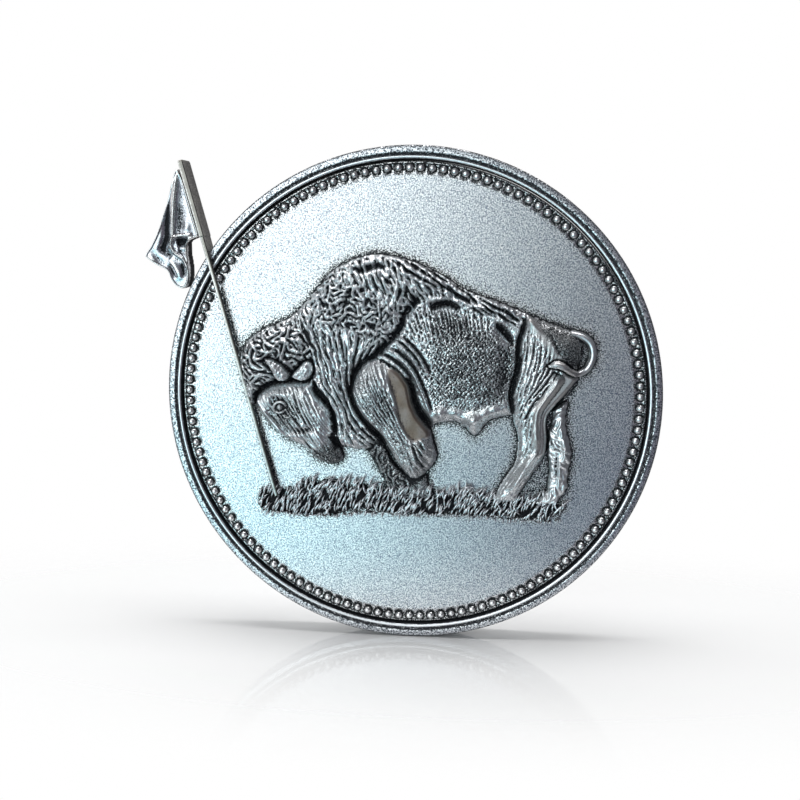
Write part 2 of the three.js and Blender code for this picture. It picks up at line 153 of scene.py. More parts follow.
def smooth_curve(points, closed=False, spacing=0.2):
    """Points a spacing apart on the smooth curve through the given ones."""
    points = np.array(points, float)
    count = len(points)
    found = []
    for i in range(count if closed else count - 1):
        b, c = points[i], points[(i + 1) % count]
        a = points[i - 1] if closed or i else 2 * b - c
        d = points[(i + 2) % count] if closed or i + 2 < count else 2 * c - b
        steps = max(1, round(math.dist(b, c) / spacing))
        t = (np.arange(steps) / steps)[:, None]
        cubic = (3 * b - a - 3 * c + d) * t**3
        found.append(0.5 * (2 * b + (c - a) * t + (2 * a - 5 * b + 4 * c - d) * t**2 + cubic))
    if not closed:
        found.append(points[-1:])
    return np.concatenate(found)


def nearest(u, v, path):
    """Distance of each point from an open path, and how far along it, from 0 to 1, it is nearest."""
    best = np.full(u.shape, 1e9)
    along = np.zeros(u.shape)
    lengths = np.hypot(*np.diff(path, axis=0).T)
    total = lengths.sum()
    done = 0.0
    for p, q, length in zip(path, path[1:], lengths):
        du, dv = q - p
        t = np.clip(((u - p[0]) * du + (v - p[1]) * dv) / max(length**2, 1e-12), 0, 1)
        square = (u - p[0] - t * du) ** 2 + (v - p[1] - t * dv) ** 2
        closer = square < best
        best = np.where(closer, square, best)
        along = np.where(closer, (done + t * length) / total, along)
        done += length
    return np.sqrt(best), along


def inside_distance(u, v, outline):
    """How far each point lies inside a closed outline; negative outside it."""
    path = smooth_curve(outline, closed=True)
    best = np.full(u.shape, 1e9)
    odd = np.zeros(u.shape, bool)
    for p, q in zip(path, np.roll(path, -1, axis=0)):
        du, dv = q - p
        t = np.clip(((u - p[0]) * du + (v - p[1]) * dv) / max(du * du + dv * dv, 1e-12), 0, 1)
        best = np.minimum(best, (u - p[0] - t * du) ** 2 + (v - p[1] - t * dv) ** 2)
        if dv:
            odd ^= ((p[1] > v) != (q[1] > v)) & (u < p[0] + (v - p[1]) * du / dv)
    return np.where(odd, 1, -1) * np.sqrt(best)


def ease(value, low, high):
    """0 below low, 1 above high and smooth between."""
    t = np.clip((value - low) / (high - low), 0, 1)
    return t * t * (3 - 2 * t)


def bell(value):
    """1 at 0, and close to 0 from 2 on, either way."""
    return np.exp(-(value**2))


def dome(value):
    """0 below 0, 1 above 1 and a quarter of a circle between, steep at its start."""
    return np.sqrt(1 - (1 - np.clip(value, 0, 1)) ** 2)


class Grid:
    """A square grid over part of the design, with what is done to height fields on it."""

    def __init__(self, left, right, bottom, top, cell):
        self.cell = cell
        self.axis_u = np.arange(left, right + cell / 2, cell)
        self.axis_v = np.arange(bottom, top + cell / 2, cell)
        self.u, self.v = np.meshgrid(self.axis_u, self.axis_v)
        self.shape = self.u.shape
        self.random = np.random.default_rng(SEED)
        frequency_v = np.fft.fftfreq(self.shape[0], cell)[:, None]
        frequency_u = np.fft.rfftfreq(self.shape[1], cell)[None]
        self.frequency2 = frequency_u**2 + frequency_v**2

    def blur(self, field, radius):
        keep = np.exp(-2 * (math.pi * radius) ** 2 * self.frequency2)
        return np.fft.irfft2(np.fft.rfft2(field) * keep, s=self.shape)

    def noise(self, size):
        """Smooth noise of one spread, in blobs about the given size."""
        field = self.blur(self.random.standard_normal(self.shape), size / 3)
        return field / field.std()

    def band(self, field, size):
        """Keeps what is about the given size, and makes its spread one."""
        field = self.blur(field, size * 0.18) - self.blur(field, size * 0.42)
        return field / field.std()

    def sample(self, field, column, row):
        column = np.clip(column, 0, self.shape[1] - 1.001)
        row = np.clip(row, 0, self.shape[0] - 1.001)
        i, j = column.astype(int), row.astype(int)
        s, t = column - i, row - j
        low = field[j, i] * (1 - s) + field[j, i + 1] * s
        return low * (1 - t) + (field[j + 1, i] * (1 - s) + field[j + 1, i + 1] * s) * t

    def flow(self, strokes, reach=1.0):
        """Unit vectors that follow the nearest of the strokes."""
        along_u = np.zeros(self.shape)
        along_v = np.zeros(self.shape)
        for stroke in strokes:
            path = smooth_curve(stroke, spacing=0.6)
            for p, q in zip(path, path[1:]):
                direction = (q - p) / max(math.dist(p, q), 1e-9)
                middle = (p + q) / 2
                square = (self.u - middle[0]) ** 2 + (self.v - middle[1]) ** 2
                weight = 1 / (square + reach * reach * 0.25) ** 2
                along_u += weight * direction[0]
                along_v += weight * direction[1]
        length = np.hypot(along_u, along_v) + 1e-12
        return along_u / length, along_v / length

    def turn(self, flow, angle):
        sine, cosine = np.sin(angle), np.cos(angle)
        return flow[0] * cosine - flow[1] * sine, flow[0] * sine + flow[1] * cosine

    def drag(self, field, flow, length):
        """Averages a field along the flow, which draws it out into streaks."""
        row, column = np.indices(self.shape).astype(float)
        total = field.copy()
        steps = max(2, round(length / self.cell / 2))
        for sign in (1, -1):
            i, j = column.copy(), row.copy()
            for _ in range(steps):
                x = np.clip(i, 0, self.shape[1] - 1).astype(int)
                y = np.clip(j, 0, self.shape[0] - 1).astype(int)
                i += sign * flow[0][y, x]
                j += sign * flow[1][y, x]
                total += self.sample(field, i, j)
        return total / (2 * steps + 1)

    def strands(self, flow, width, length, rounds=1):
        """Hair: ridges of one width drawn out along the flow, from -1 to 1."""
        field = self.random.standard_normal(self.shape)
        for _ in range(rounds):
            field = np.tanh(1.6 * self.band(self.drag(field, flow, length), width))
        return field

    def near(self, path, reach):
        """The part of the grid within reach of a path."""
        low, high = path.min(axis=0) - reach, path.max(axis=0) + reach
        rows = slice(*np.searchsorted(self.axis_v, (low[1], high[1])))
        columns = slice(*np.searchsorted(self.axis_u, (low[0], high[0])))
        return rows, columns

    def ridge(self, height, points, width, rise, taper=0.35):
        """Adds a rounded ridge along a curve, or with a negative rise cuts a groove."""
        path = smooth_curve(points, spacing=0.3)
        part = self.near(path, 2.5 * width)
        distance, along = nearest(self.u[part], self.v[part], path)
        ends = np.clip(np.minimum(along, 1 - along) / max(taper, 1e-6), 0, 1) ** 0.6
        height[part] += rise * ends * bell(distance / width)

    def blob(self, height, centre, size, rise, turned=0.0):
        """Adds a rounded swelling, longer one way than the other if size is a pair."""
        long, short = size if isinstance(size, tuple) else (size, size)
        du, dv = self.u - centre[0], self.v - centre[1]
        sine, cosine = math.sin(turned), math.cos(turned)
        square = ((du * cosine + dv * sine) / long) ** 2 + ((dv * cosine - du * sine) / short) ** 2
        height += rise * np.exp(-square)


# ---- The bison's surface ----

BISON_CELL = 0.08
EDGE_SLOPE = 5.0  # how steeply the relief falls away outside an outline

# strokes that the hair of each part follows
MANE_FLOW = [
    [(-10.2, 9.8), (-8.8, 7.6), (-7.6, 5.4), (-6.9, 3.0), (-6.7, 0.5), (-6.2, -1.6), (-4.9, -3.6),
     (-3.4, -5.4)],
    [(-8.3, 12.2), (-7.0, 9.6), (-6.0, 7.2), (-5.6, 4.8), (-6.4, 2.6)],
    [(-6.0, 13.6), (-5.0, 11.0), (-4.4, 8.2), (-4.2, 6.0), (-4.8, 4.2)],
    [(-3.0, 14.2), (-2.2, 11.8), (-1.4, 9.4), (-1.6, 7.2)],
    [(-0.8, 13.8), (0.3, 12.2), (1.2, 10.6), (1.6, 9.6)],
    [(-9.8, 3.4), (-9.0, 1.4), (-7.8, -0.6), (-7.0, -2.8), (-6.6, -4.8)],
    [(-10.6, 7.4), (-9.4, 5.0), (-8.4, 2.4), (-7.6, 0.2), (-6.4, -2.4), (-5.0, -4.6)],
]
HEAD_FLOW = [
    [(-17.0, 3.6), (-16.0, 2.6), (-15.4, 1.4)],
    [(-15.6, 6.2), (-14.8, 5.2), (-14.9, 4.4)],
    [(-13.2, 7.2), (-12.0, 6.8), (-10.8, 5.6), (-10.2, 4.2)],
    [(-16.8, 1.6), (-16.2, 0.6), (-15.8, -0.2)],
]
SPINE_FLOW = [[(0.4, 13.0), (3.0, 11.2)], [(4.0, 11.6), (6.6, 9.6)], [(8.0, 9.9), (10.6, 8.0)]]
FLANK_FLOW = [
    [(1.6, 9.6), (2.4, 6.6), (3.2, 3.4), (3.4, 0.4)],
    [(4.4, 9.4), (5.0, 6.4), (5.2, 3.4), (5.4, 0.0)],
    [(7.4, 9.0), (7.8, 6.0), (7.8, 3.0), (7.4, 0.0)],
    [(10.2, 6.4), (10.4, 4.0), (10.0, 1.0)],
    [(0.2, 6.0), (1.2, 4.4), (2.0, 2.2), (2.4, 0.2)],
]
HAUNCH_FLOW = [
    [(11.9, 8.3), (11.8, 6.4), (11.6, 4.2), (11.2, 2.4), (10.9, 0.8)],
    [(13.0, 7.4), (12.9, 5.4), (12.6, 3.4), (12.0, 1.2), (11.5, -1.0)],
    [(14.6, 5.4), (14.2, 3.8), (13.3, 2.0), (12.2, 0.6), (11.4, -0.6)],
    [(14.6, 2.9), (13.6, 1.3), (12.6, 0.0), (11.7, -1.4)],
    [(12.4, -1.0), (12.0, -2.8), (11.8, -4.4)],
    [(12.9, -5.4), (11.9, -6.6), (10.8, -8.0), (9.8, -9.4)],
    [(15.3, -0.6), (15.1, -2.8), (15.3, -5.0), (15.4, -7.2), (14.6, -9.4)],
]
FORELEG_FLOW = [
    [(-3.4, 4.2), (-2.8, 2.2), (-2.0, 0.0), (-1.2, -1.8), (-0.2, -3.6)],
    [(-4.8, 2.8), (-4.2, 0.8), (-3.0, -1.4), (-1.6, -3.4), (-0.4, -5.2)],
    [(-5.7, 0.6), (-5.0, -0.9), (-3.4, -2.8), (-1.9, -4.8), (-0.6, -6.8)],
    [(0.8, -4.4), (1.4, -5.6), (2.4, -6.4)],
    [(0.4, -4.9), (0.8, -6.4), (1.2, -7.6)],
    [(1.2, -4.0), (2.0, -4.6), (2.7, -5.2)],
    [(-4.6, -4.6), (-3.6, -6.0), (-2.8, -7.6), (-2.2, -9.4)],
]
FACE_FLOW = [
    [(-13.6, 1.0), (-12.6, -1.0), (-11.2, -3.0)],
    [(-11.8, 1.6), (-10.9, -0.6), (-9.8, -2.6), (-9.0, -3.6)],
    [(-10.2, 1.4), (-9.4, -0.2), (-8.6, -1.8)],
    [(-9.8, -3.6), (-8.9, -5.0), (-8.0, -6.4)],
    [(-14.6, -2.2), (-13.2, -3.6)],
]


class Sculpt(Grid):
    """The bison as a height field, with what the finish needs to know beside it."""

    def __init__(self):
        super().__init__(-18.3, 19.1, -10.9, 15.1, BISON_CELL)
        self.inside = {}
        self.height = np.full(self.shape, -1.0)
        self.tone = np.zeros(self.shape)  # how much blacker than its hollows make it the finish is
        # the tone also holds painted shade on the flank, the belly and the legs behind, and a painted
        # highlight on the eye
        self.smooth = {}  # where the metal is smooth, by the name of the place

    def depth(self, name, outline):
        """How far inside a named outline each point is, worked out once."""
        if name not in self.inside:
            self.inside[name] = inside_distance(self.u, self.v, outline)
        return self.inside[name]

    def mass(self, name, outline, base, rise, width, ragged=0.0, fuse=0.0):
        """Lays a rounded mass over the relief: base high at its outline and base + rise within."""
        depth = self.depth(name, outline)
        if ragged:
            depth = depth + ragged * np.tanh(self.noise(0.45))
        form = base + rise * dome(depth / width) + EDGE_SLOPE * np.minimum(depth, 0)
        if fuse:
            gap = np.clip(0.5 + (form - self.height) / (2 * fuse), 0, 1)
            mixed = self.height * (1 - gap) + form * gap + fuse * gap * (1 - gap)
            self.height = np.where(np.abs(form - self.height) < fuse, mixed, np.maximum(form, self.height))
        else:
            self.height = np.maximum(self.height, form)

    def region(self, name, outline, soft):
        return ease(self.depth(name, outline), -soft, soft)

    def carve(self, marks):
        """Adds ridges, each given as a list of points, and blobs, each given as a centre."""
        for mark in marks:
            add = self.ridge if isinstance(mark[0], list) else self.blob
            add(self.height, *mark)


def sculpt_masses(relief):
    """The big forms, back to front."""
    relief.mass("far_hind_leg", FAR_HIND_LEG, 0.2, 0.75, 1.0, ragged=0.06)
    relief.mass("far_foreleg", FAR_FORELEG, 0.12, 0.5, 1.2, ragged=0.1)
    relief.mass("body", BODY, 0.3, 0.75, 1.8, ragged=0.05)
    relief.mass("flank", FLANK, 0.35, 1.1, 4.6, fuse=0.3)
    relief.mass("hump", HUMP, 0.5, 1.25, 2.8, ragged=0.12, fuse=0.15)
    relief.mass("lower_foreleg", LOWER_FORELEG, 0.12, 0.4, 0.9, ragged=0.05)
    relief.mass("foreleg", FORELEG, 0.75, 1.15, 2.3, ragged=0.03)
    relief.mass("hind_leg", HIND_LEG, 0.45, 1.15, 2.2, ragged=0.03)
    relief.mass("forelock", FORELOCK, 0.6, 1.15, 2.2, ragged=0.12)
    relief.mass("face", FACE, 0.65, 1.15, 2.0)


MUSCLES = [
    # grooves round the shoulder, behind the foreleg, and in front of the haunch
    ([(-3.4, 4.5), (-4.4, 4.1), (-5.1, 3.4), (-5.65, 2.4), (-6.0, 1.0), (-5.8, -0.2), (-5.1, -1.6),
      (-4.3, -2.6), (-3.3, -3.5), (-2.6, -4.4), (-2.1, -5.4), (-1.6, -6.3), (-0.9, -7.2), (-0.1, -8.0)],
      0.26, -0.75, 0.1),
    ([(-0.2, 2.4), (0.3, 1.2), (0.55, 0.1), (1.0, -0.9), (1.7, -1.9), (2.3, -2.7)], 0.3, -1.0, 0.2),
    ([(11.7, 8.5), (11.3, 7.2), (11.0, 6.0), (10.95, 5.0), (11.0, 4.0), (10.85, 3.0), (10.55, 2.0),
      (10.35, 1.0), (10.35, 0.0), (10.6, -1.3)], 0.24, -0.8, 0.15),
    # the mane's edge against the flank
    ([(1.4, 10.8), (0.7, 10.1), (0.1, 9.4), (-0.5, 8.6), (-0.8, 7.6), (-1.4, 6.7), (-2.1, 6.0),
      (-3.0, 5.0), (-4.2, 4.2)], 0.34, -0.75, 0.15),
    # the belly's edge and its swellings
    ([(2.9, -1.4), (4.4, -1.35), (5.6, -1.7), (6.6, -1.9), (8.0, -1.2), (9.6, -0.7)], 0.6, 0.2),
    ((3.2, -1.35), 0.55, 0.35),
    ((4.7, -1.25), 0.5, 0.12),
    ((6.6, -2.0), (0.7, 0.9), 0.4),
    ((7.7, -1.2), 0.45, 0.15),
    ((8.7, -0.9), 0.55, 0.18),
    ((9.7, -0.5), 0.5, 0.15),
    # ribs and the hollow before the haunch
    ((5.2, 5.2), (2.6, 2.2), 0.12),
    ((9.9, 3.0), (0.9, 2.4), -0.28),
    ((9.6, 7.0), (0.9, 0.7), -0.3),
    # the near hind leg's bone, from the rump to the hoof
    ([(15.9, 3.0), (15.1, 2.4), (14.4, 1.3), (13.6, 0.1), (13.1, -0.8), (12.95, -1.7), (12.95, -3.0),
      (13.1, -4.2), (13.15, -5.0)], 0.5, 0.55, 0.15),
    ([(13.1, -4.9), (12.6, -5.8), (11.9, -6.8), (11.2, -7.9), (10.5, -9.2)], 0.42, 0.4, 0.2),
    ((13.3, -5.2), 0.55, 0.2),
    ((12.2, 2.4), (1.2, 2.6), 0.2),
    ((14.9, 6.0), (2.0, 1.2), 0.12, -0.4),
    ([(13.9, 7.2), (14.6, 6.0), (14.9, 5.2), (15.4, 4.6)], 0.16, -0.08),
    ([(14.2, 3.2), (15.0, 2.95), (15.8, 2.6), (16.8, 2.3)], 0.22, -0.3),
    # the far hind leg's bone and hock
    ([(15.45, -1.2), (15.4, -2.8), (15.75, -4.2), (15.85, -5.3), (15.4, -6.2), (15.3, -7.4),
      (15.6, -8.6)], 0.26, 0.3),
    ((15.9, -5.0), 0.5, 0.18),
    ([(15.15, -5.6), (14.95, -6.8), (15.2, -8.0)], 0.16, -0.2),
    # the foreleg: a smooth strip down its back, the elbow and the knee's tuft
    ([(-1.5, 2.7), (-0.9, 1.6), (-0.5, 0.3), (-0.1, -0.9), (0.4, -2.2), (1.2, -3.3)], 0.6, 0.1, 0.2),
    ((-3.3, 1.5), (1.8, 1.2), 0.22, 1.2),
    ((1.4, -5.6), (1.2, 1.0), 0.24, 0.9),
]
SKIN_FOLDS = [
    [(-3.2, 4.6), (-2.2, 4.15), (-1.2, 3.45), (-0.5, 2.75), (0.1, 1.9)],
    [(-2.1, 5.25), (-1.0, 4.45), (-0.1, 3.6), (0.6, 2.6), (1.1, 1.5), (1.5, 0.6), (1.9, -0.5),
     (2.2, -1.4)],
    [(-1.4, 5.95), (-0.5, 5.2), (0.4, 4.3), (1.1, 3.2)],
    [(-1.1, 6.5), (0.0, 5.5), (0.9, 4.5), (1.6, 3.4), (2.0, 2.5)],
]


def sculpt_muscles(relief):
    """Grooves between the masses, and the bones, folds and muscles that stand out on them."""
    relief.carve(MUSCLES)
    for fold in SKIN_FOLDS:
        relief.ridge(relief.height, fold, 0.2, 0.38, 0.3)
        relief.ridge(relief.height, [(u + 0.22, v + 0.24) for u, v in fold], 0.15, -0.36, 0.3)


HEAD_MARKS = [
    # the edges of the face, the brow, the eye and the cheek
    ([(-16.1, -0.8), (-15.9, 0.3), (-15.0, 1.15), (-13.9, 1.65), (-12.6, 1.95), (-11.4, 1.95),
      (-10.1, 1.95)], 0.22, -0.8, 0.08),
    ([(-9.8, 1.9), (-9.5, 0.8), (-8.8, -0.1), (-8.1, -0.9), (-7.8, -1.8), (-7.65, -2.8), (-7.6, -3.8)],
      0.24, -0.8, 0.12),
    ([(-15.3, -0.8), (-14.5, -1.9), (-13.6, -2.9), (-12.9, -3.8)], 0.2, 0.3, 0.25),
    ([(-14.6, -1.2), (-13.9, -2.1), (-13.1, -3.0)], 0.22, -0.22),
    ((-13.25, -0.75), 0.85, -0.36),
    ([(-14.7, 0.1), (-14.0, 0.45), (-13.2, 0.5), (-12.3, 0.2)], 0.24, 0.2),
    ([(-13.95, -1.05), (-13.75, -0.55), (-13.3, -0.3), (-12.75, -0.45), (-12.5, -0.8)],
      0.12, 0.32, 0.2),
    ([(-13.9, -1.25), (-13.3, -1.45), (-12.7, -1.2)], 0.11, 0.2, 0.2),
    ((-13.25, -0.85), 0.3, 0.36),
    ((-9.9, -1.2), (1.7, 1.1), 0.2, -1.0),
    ((-8.75, -2.0), (0.95, 0.45), 0.16, -1.15),
    # the muzzle: nostril, lip line and chin
    ([(-12.1, -3.2), (-11.2, -3.3), (-10.3, -3.1), (-9.6, -2.9)], 0.25, -0.22),
    ((-11.75, -3.95), (0.62, 0.42), 0.32, -0.2),
    ((-12.5, -4.15), (0.3, 0.18), -0.3),
    ((-9.3, -3.9), (0.9, 0.6), 0.24, -0.6),
    ([(-10.9, -4.3), (-10.3, -4.9), (-9.6, -5.5), (-8.7, -6.0), (-7.9, -6.1)], 0.14, -0.2),
    ([(-8.2, -3.6), (-7.7, -4.5), (-7.3, -5.4)], 0.3, -0.6),
]


def sculpt_head(relief):
    """The face's bones, eye, nostril and mouth, then a whorl of hair, the horn and the ear over all."""
    h = relief.height
    relief.carve(HEAD_MARKS)
    for turn in (0.0, 2.1, 4.2):
        path = [(-12.3 + r * math.cos(turn + 1.9 * r), 4.95 + r * math.sin(turn + 1.9 * r))
                for r in (0.3, 0.6, 0.9, 1.2, 1.5, 1.8)]
        relief.ridge(h, path, 0.19, 0.28, 0.3)
    for name, outline, base, rise, width in (("horn", HORN, 1.55, 0.55, 0.55),
                                             ("ear", EAR, 1.35, 0.6, 0.75)):
        depth = relief.depth(name, outline)
        h -= 0.8 * bell(depth / 0.28) * (depth < 0)
        h[:] = np.where(depth > 0, np.maximum(base + rise * dome(depth / width), h), h)
    relief.ridge(h, [(-14.3, 3.6), (-13.6, 3.1), (-13.0, 2.4)], 0.14, 0.12)
    relief.blob(h, (-11.2, 2.35), (0.5, 0.3), -0.25, 0.7)


def sculpt_tail(relief):
    """A cord that leaves the rump, hangs in a loop beside it and curls back over the haunch."""
    path = smooth_curve(TAIL, spacing=0.15)
    distance, along = nearest(relief.u, relief.v, path)
    thick = 0.34 - 0.06 * along + 0.08 * ease(along, 0.75, 0.9) - 0.22 * ease(along, 0.93, 1.0)
    lift = 0.75 + 1.25 * ease(along, 0.55, 0.85)
    groove = np.exp(-(((distance - thick) / 0.14) ** 2)) * (distance > thick) * ease(along, 0.45, 0.6)
    relief.height -= 0.55 * groove
    cord = lift + np.sqrt(np.clip(thick**2 - distance**2, 0, None))
    through = inside_distance(relief.u, relief.v, TAIL_GAP) > 0
    relief.height = np.where(through, -1.0, relief.height)
    skirt = lift - EDGE_SLOPE * (distance - thick)
    skirt = np.where(along < 0.6, skirt, -1)
    relief.height = np.maximum(relief.height, np.where(distance < thick, cord, skirt))


def coat_parts(relief):
    """How far each point belongs to each part of the hide that has hair of its own, from 0 to 1."""
    part = SimpleNamespace()
    part.face = relief.region("face", FACE, 0.2)
    part.foreleg = relief.region("foreleg", FORELEG, 0.2)
    part.haunch = relief.region("hind_leg", HIND_LEG, 0.2)
    part.far_foreleg = relief.region("far_foreleg", FAR_FORELEG, 0.2)
    part.far_legs = np.maximum(relief.region("far_hind_leg", FAR_HIND_LEG, 0.2), part.far_foreleg)
    bony = (relief.depth("horn", HORN) >= 0) | (relief.depth("ear", EAR) >= 0)
    part.forelock = relief.region("forelock", FORELOCK, 0.25) * ~bony
    part.mane = relief.region("hump", HUMP, 0.3)
    part.flank = relief.region("body", BODY, 0.2)
    for over in (part.foreleg, part.face, part.forelock):
        part.mane = part.mane * (1 - over)
    for over in (part.mane, part.foreleg, part.haunch, part.face, part.forelock):
        part.flank = part.flank * (1 - over)
    return part


def grow_mane(relief, part):
    """Long locks on the neck that break up into curls over the shoulder and tufts on the hump."""
    flow = relief.flow(MANE_FLOW)
    curly = ease(relief.v + 0.35 * relief.u, 2.5, 6.0)
    tufted = ease(relief.v + 0.6 * relief.u, 7.0, 10.0)
    bend = relief.noise(1.1)
    locks = relief.strands(relief.turn(flow, 0.2 * bend), 0.56, 2.4, 2)
    curls = relief.strands(relief.turn(flow, curly * 1.3 * bend), 0.42, 0.5, 2)
    tufts = relief.strands(relief.turn(flow, 0.25 * bend), 0.5, 0.7, 2)
    fine = relief.strands(flow, 0.26, 0.9)
    coat = locks * (1 - curly) + curls * curly * (1 - tufted) + tufts * curly * tufted
    patchy = 1 + 0.35 * np.tanh(relief.noise(1.1))
    pockets = ease(relief.noise(0.9), 0.9, 1.7)
    relief.height += part.mane * (patchy * (0.19 * coat + 0.06 * fine) - 0.4 * curly * pockets)
    crest = (1 - ease(relief.depth("body", BODY), 0.3, 1.3)) * ease(relief.v, 9.5, 12.0)
    relief.tone += part.mane * (0.42 * crest - 0.07 - 0.2 * np.clip(coat, 0, 1))


def grow_crown(relief, part):
    """A tight, knotted coat on the crown, and a bright ear."""
    flow = relief.turn(relief.flow(HEAD_FLOW), 0.9 * relief.noise(1.1))
    knots = relief.strands(flow, 0.42, 0.5, 2)
    relief.height += part.forelock * (0.17 * knots + 0.05 * relief.strands(flow, 0.26, 0.6))
    relief.tone += part.forelock * (0.36 - 0.15 * np.clip(knots, 0, 1))
    relief.tone -= 0.35 * ease(relief.depth("ear", EAR), 0.0, 0.2)


def grow_flank(relief, part):
    """A short crossed coat, with painted shade in the middle of the flank and along the belly, and rows of
    hair near its top edge.
    """
    flow = relief.flow(FLANK_FLOW)
    rows = ease(relief.v - 0.2 * relief.u, 4.0, 7.0)
    crossed = sum(relief.strands(relief.turn(flow, angle), 0.24, 0.6) for angle in (0.6, -0.7))
    combed = relief.strands(flow, 0.32, 1.5)
    furred = 0.3 + 0.7 * ease(relief.v, -0.9, 0.8)
    relief.height += part.flank * furred * (0.03 * crossed + (0.012 + 0.06 * rows) * combed)
    # painted shade: darker towards the middle of the flank, and along the belly's underside
    shaded = (0.35 + 0.65 * ease(relief.u, 1.2, 4.0)) * ease(relief.v, -1.2, 0.6)
    shaded *= 1 - ease(relief.v + 0.45 * relief.u, 9.6, 12.0)
    belly = 1 - ease(relief.v, -1.0, 0.2)
    relief.tone += part.flank * (0.54 * shaded + 0.34 * belly)
    relief.smooth["flank"] = part.flank


def grow_haunch(relief, part):
    """Hair combed down the haunch and leg, a grainy rump, bare skin on the bone; shaggy far legs."""
    flow = relief.flow(HAUNCH_FLOW)
    bone, _ = nearest(relief.u, relief.v, smooth_curve(HIND_BONE, spacing=0.4))
    back = relief.u + 0.75 * relief.v
    grainy = ease(back, 18.3, 19.0) * ease(relief.v, 3.2, 3.8)
    bare = np.maximum(ease(1.0 - bone, 0.0, 0.4), ease(back, 17.3, 18.3))
    combed = 0.075 * relief.strands(flow, 0.34, 1.6) + 0.03 * relief.strands(flow, 0.26, 1.0)
    relief.height += part.haunch * (1 - 0.9 * bare) * combed * (1 - 0.45 * ease(-relief.v, 1.0, 4.5))
    ledge = 0.45 + 1.1 * dome(relief.depth("hind_leg", HIND_LEG) / 0.5)
    relief.height += bare * part.haunch * (1 - grainy) * np.maximum(ledge - relief.height, 0)
    relief.height += part.haunch * grainy * 0.018 * relief.noise(0.24)
    relief.tone += part.haunch * (0.55 * grainy + 0.27 - 0.11 * bare + 0.08 * ease(-relief.v, 2.0, 5.0))
    relief.smooth["bare"] = bare * part.haunch * (1 - 0.75 * grainy)
    shaggy = relief.strands(relief.turn(flow, 0.8 * relief.noise(0.9)), 0.36, 0.8, 2)
    relief.height += 0.07 * part.far_legs * (1 - part.haunch) * (1 - part.foreleg) * shaggy


def grow_foreleg(relief, part):
    """Combed hair, coarser at the knee, a bare strip down the leg's back edge, and painted shade on the legs
    behind it.
    """
    flow = relief.flow(FORELEG_FLOW)
    strip = ease(inside_distance(relief.u, relief.v, BARE_STRIP), -0.15, 0.25)
    knee = ease(-relief.v, 3.8, 5.0) * ease(relief.u, -0.3, 0.6)
    plateau = 0.7 + 0.95 * dome(relief.depth("foreleg", FORELEG) / 0.4) + 0.008 * relief.noise(1.0)
    relief.height += strip * part.foreleg * (plateau - relief.height)
    combed = 0.06 * relief.strands(flow, 0.32, 1.8) * (1 - knee)
    combed += 0.13 * relief.strands(flow, 0.5, 1.4, 2) * knee
    relief.height += part.foreleg * (1 - strip) * combed
    relief.tone += part.foreleg * (1 - strip) * (0.2 + 0.25 * ease(-relief.u - relief.v, -1.0, 3.0))
    # painted shade: the lower and far forelegs, which lie behind the near one, are made darker
    behind = np.maximum(relief.region("lower_foreleg", LOWER_FORELEG, 0.2), part.far_foreleg)
    relief.tone += 0.6 * behind * (1 - part.foreleg) * (1 - part.mane)
    relief.smooth["strip"] = strip * part.foreleg


def grow_face(relief, part):
    """Fine hair combed down the face, with a dark muzzle and cheek, a bright brow, and a painted highlight
    on the eye.
    """
    flow = relief.flow(FACE_FLOW)
    socket = np.exp(-((relief.u + 13.25) ** 2 + (relief.v + 0.75) ** 2) / 0.9)
    relief.height += part.face * (1 - socket) * 0.075 * relief.strands(flow, 0.32, 2.4)
    muzzle = ease(-relief.v + 0.35 * (relief.u + 9.0), 4.2, 5.6)
    cheek = bell((relief.u + 12.9) / 1.5) * bell((relief.v + 1.6) / 1.7)
    brow, _ = nearest(relief.u, relief.v, smooth_curve(BROW))
    relief.tone += part.face * (0.2 + 0.5 * muzzle + 0.45 * cheek - 0.65 * bell(brow / 0.28))
    # painted highlight: a bright dot on the eye and a bright ring round it
    from_eye = np.hypot(relief.u + 13.25, relief.v + 0.85)
    relief.tone -= 0.5 * bell(from_eye / 0.2) + 0.35 * bell((from_eye - 0.55) / 0.12)


def sculpt_hair(relief):
    """Hair of a different kind on each part of the hide."""
    part = coat_parts(relief)
    for grow in (grow_mane, grow_crown, grow_flank, grow_haunch, grow_foreleg, grow_face):
        grow(relief, part)


# holes under the locks along the back, each a path, a width and a rise, and the locks
SPINE_HOLES = [
    ([(2.1, 9.3), (3.0, 9.75), (4.0, 9.85), (5.2, 9.35)], 0.3, -0.9),
    ([(4.1, 10.75), (5.0, 10.5), (6.0, 10.2), (6.9, 9.95)], 0.22, -0.7),
    ([(8.7, 7.9), (9.4, 7.2), (10.2, 6.2), (10.5, 5.6)], 0.3, -0.7),
    ([(9.9, 8.5), (10.6, 8.3), (11.3, 8.0)], 0.2, -0.5),
    ([(7.3, 9.3), (8.2, 9.15), (9.0, 8.8)], 0.16, -0.4),
    ([(-5.9, 13.2), (-4.8, 13.1), (-3.9, 13.4), (-2.8, 13.55), (-1.8, 13.3)], 0.3, -0.8),
    ([(-1.2, 11.1), (-0.3, 10.75), (0.5, 10.3), (0.9, 9.7)], 0.3, -0.8),
    ([(-9.2, 10.2), (-8.6, 9.7), (-8.2, 9.3)], 0.22, -0.5),
]
SPINE_LOCKS = [
    [(0.9, 11.2), (2.0, 10.6), (3.0, 10.4), (4.1, 10.3)],
    [(1.7, 10.2), (2.6, 10.2), (3.7, 10.35)],
    [(4.3, 10.25), (5.2, 9.95), (6.2, 9.6), (7.2, 9.3)],
    [(6.4, 9.8), (7.4, 9.5), (8.4, 9.3)],
    [(6.6, 10.6), (8.2, 10.0), (10.0, 9.3), (11.6, 8.6)],
    [(10.7, 8.1), (11.0, 7.4), (11.0, 6.6)],
    [(8.0, 8.6), (9.0, 8.2), (9.9, 7.6)],
]


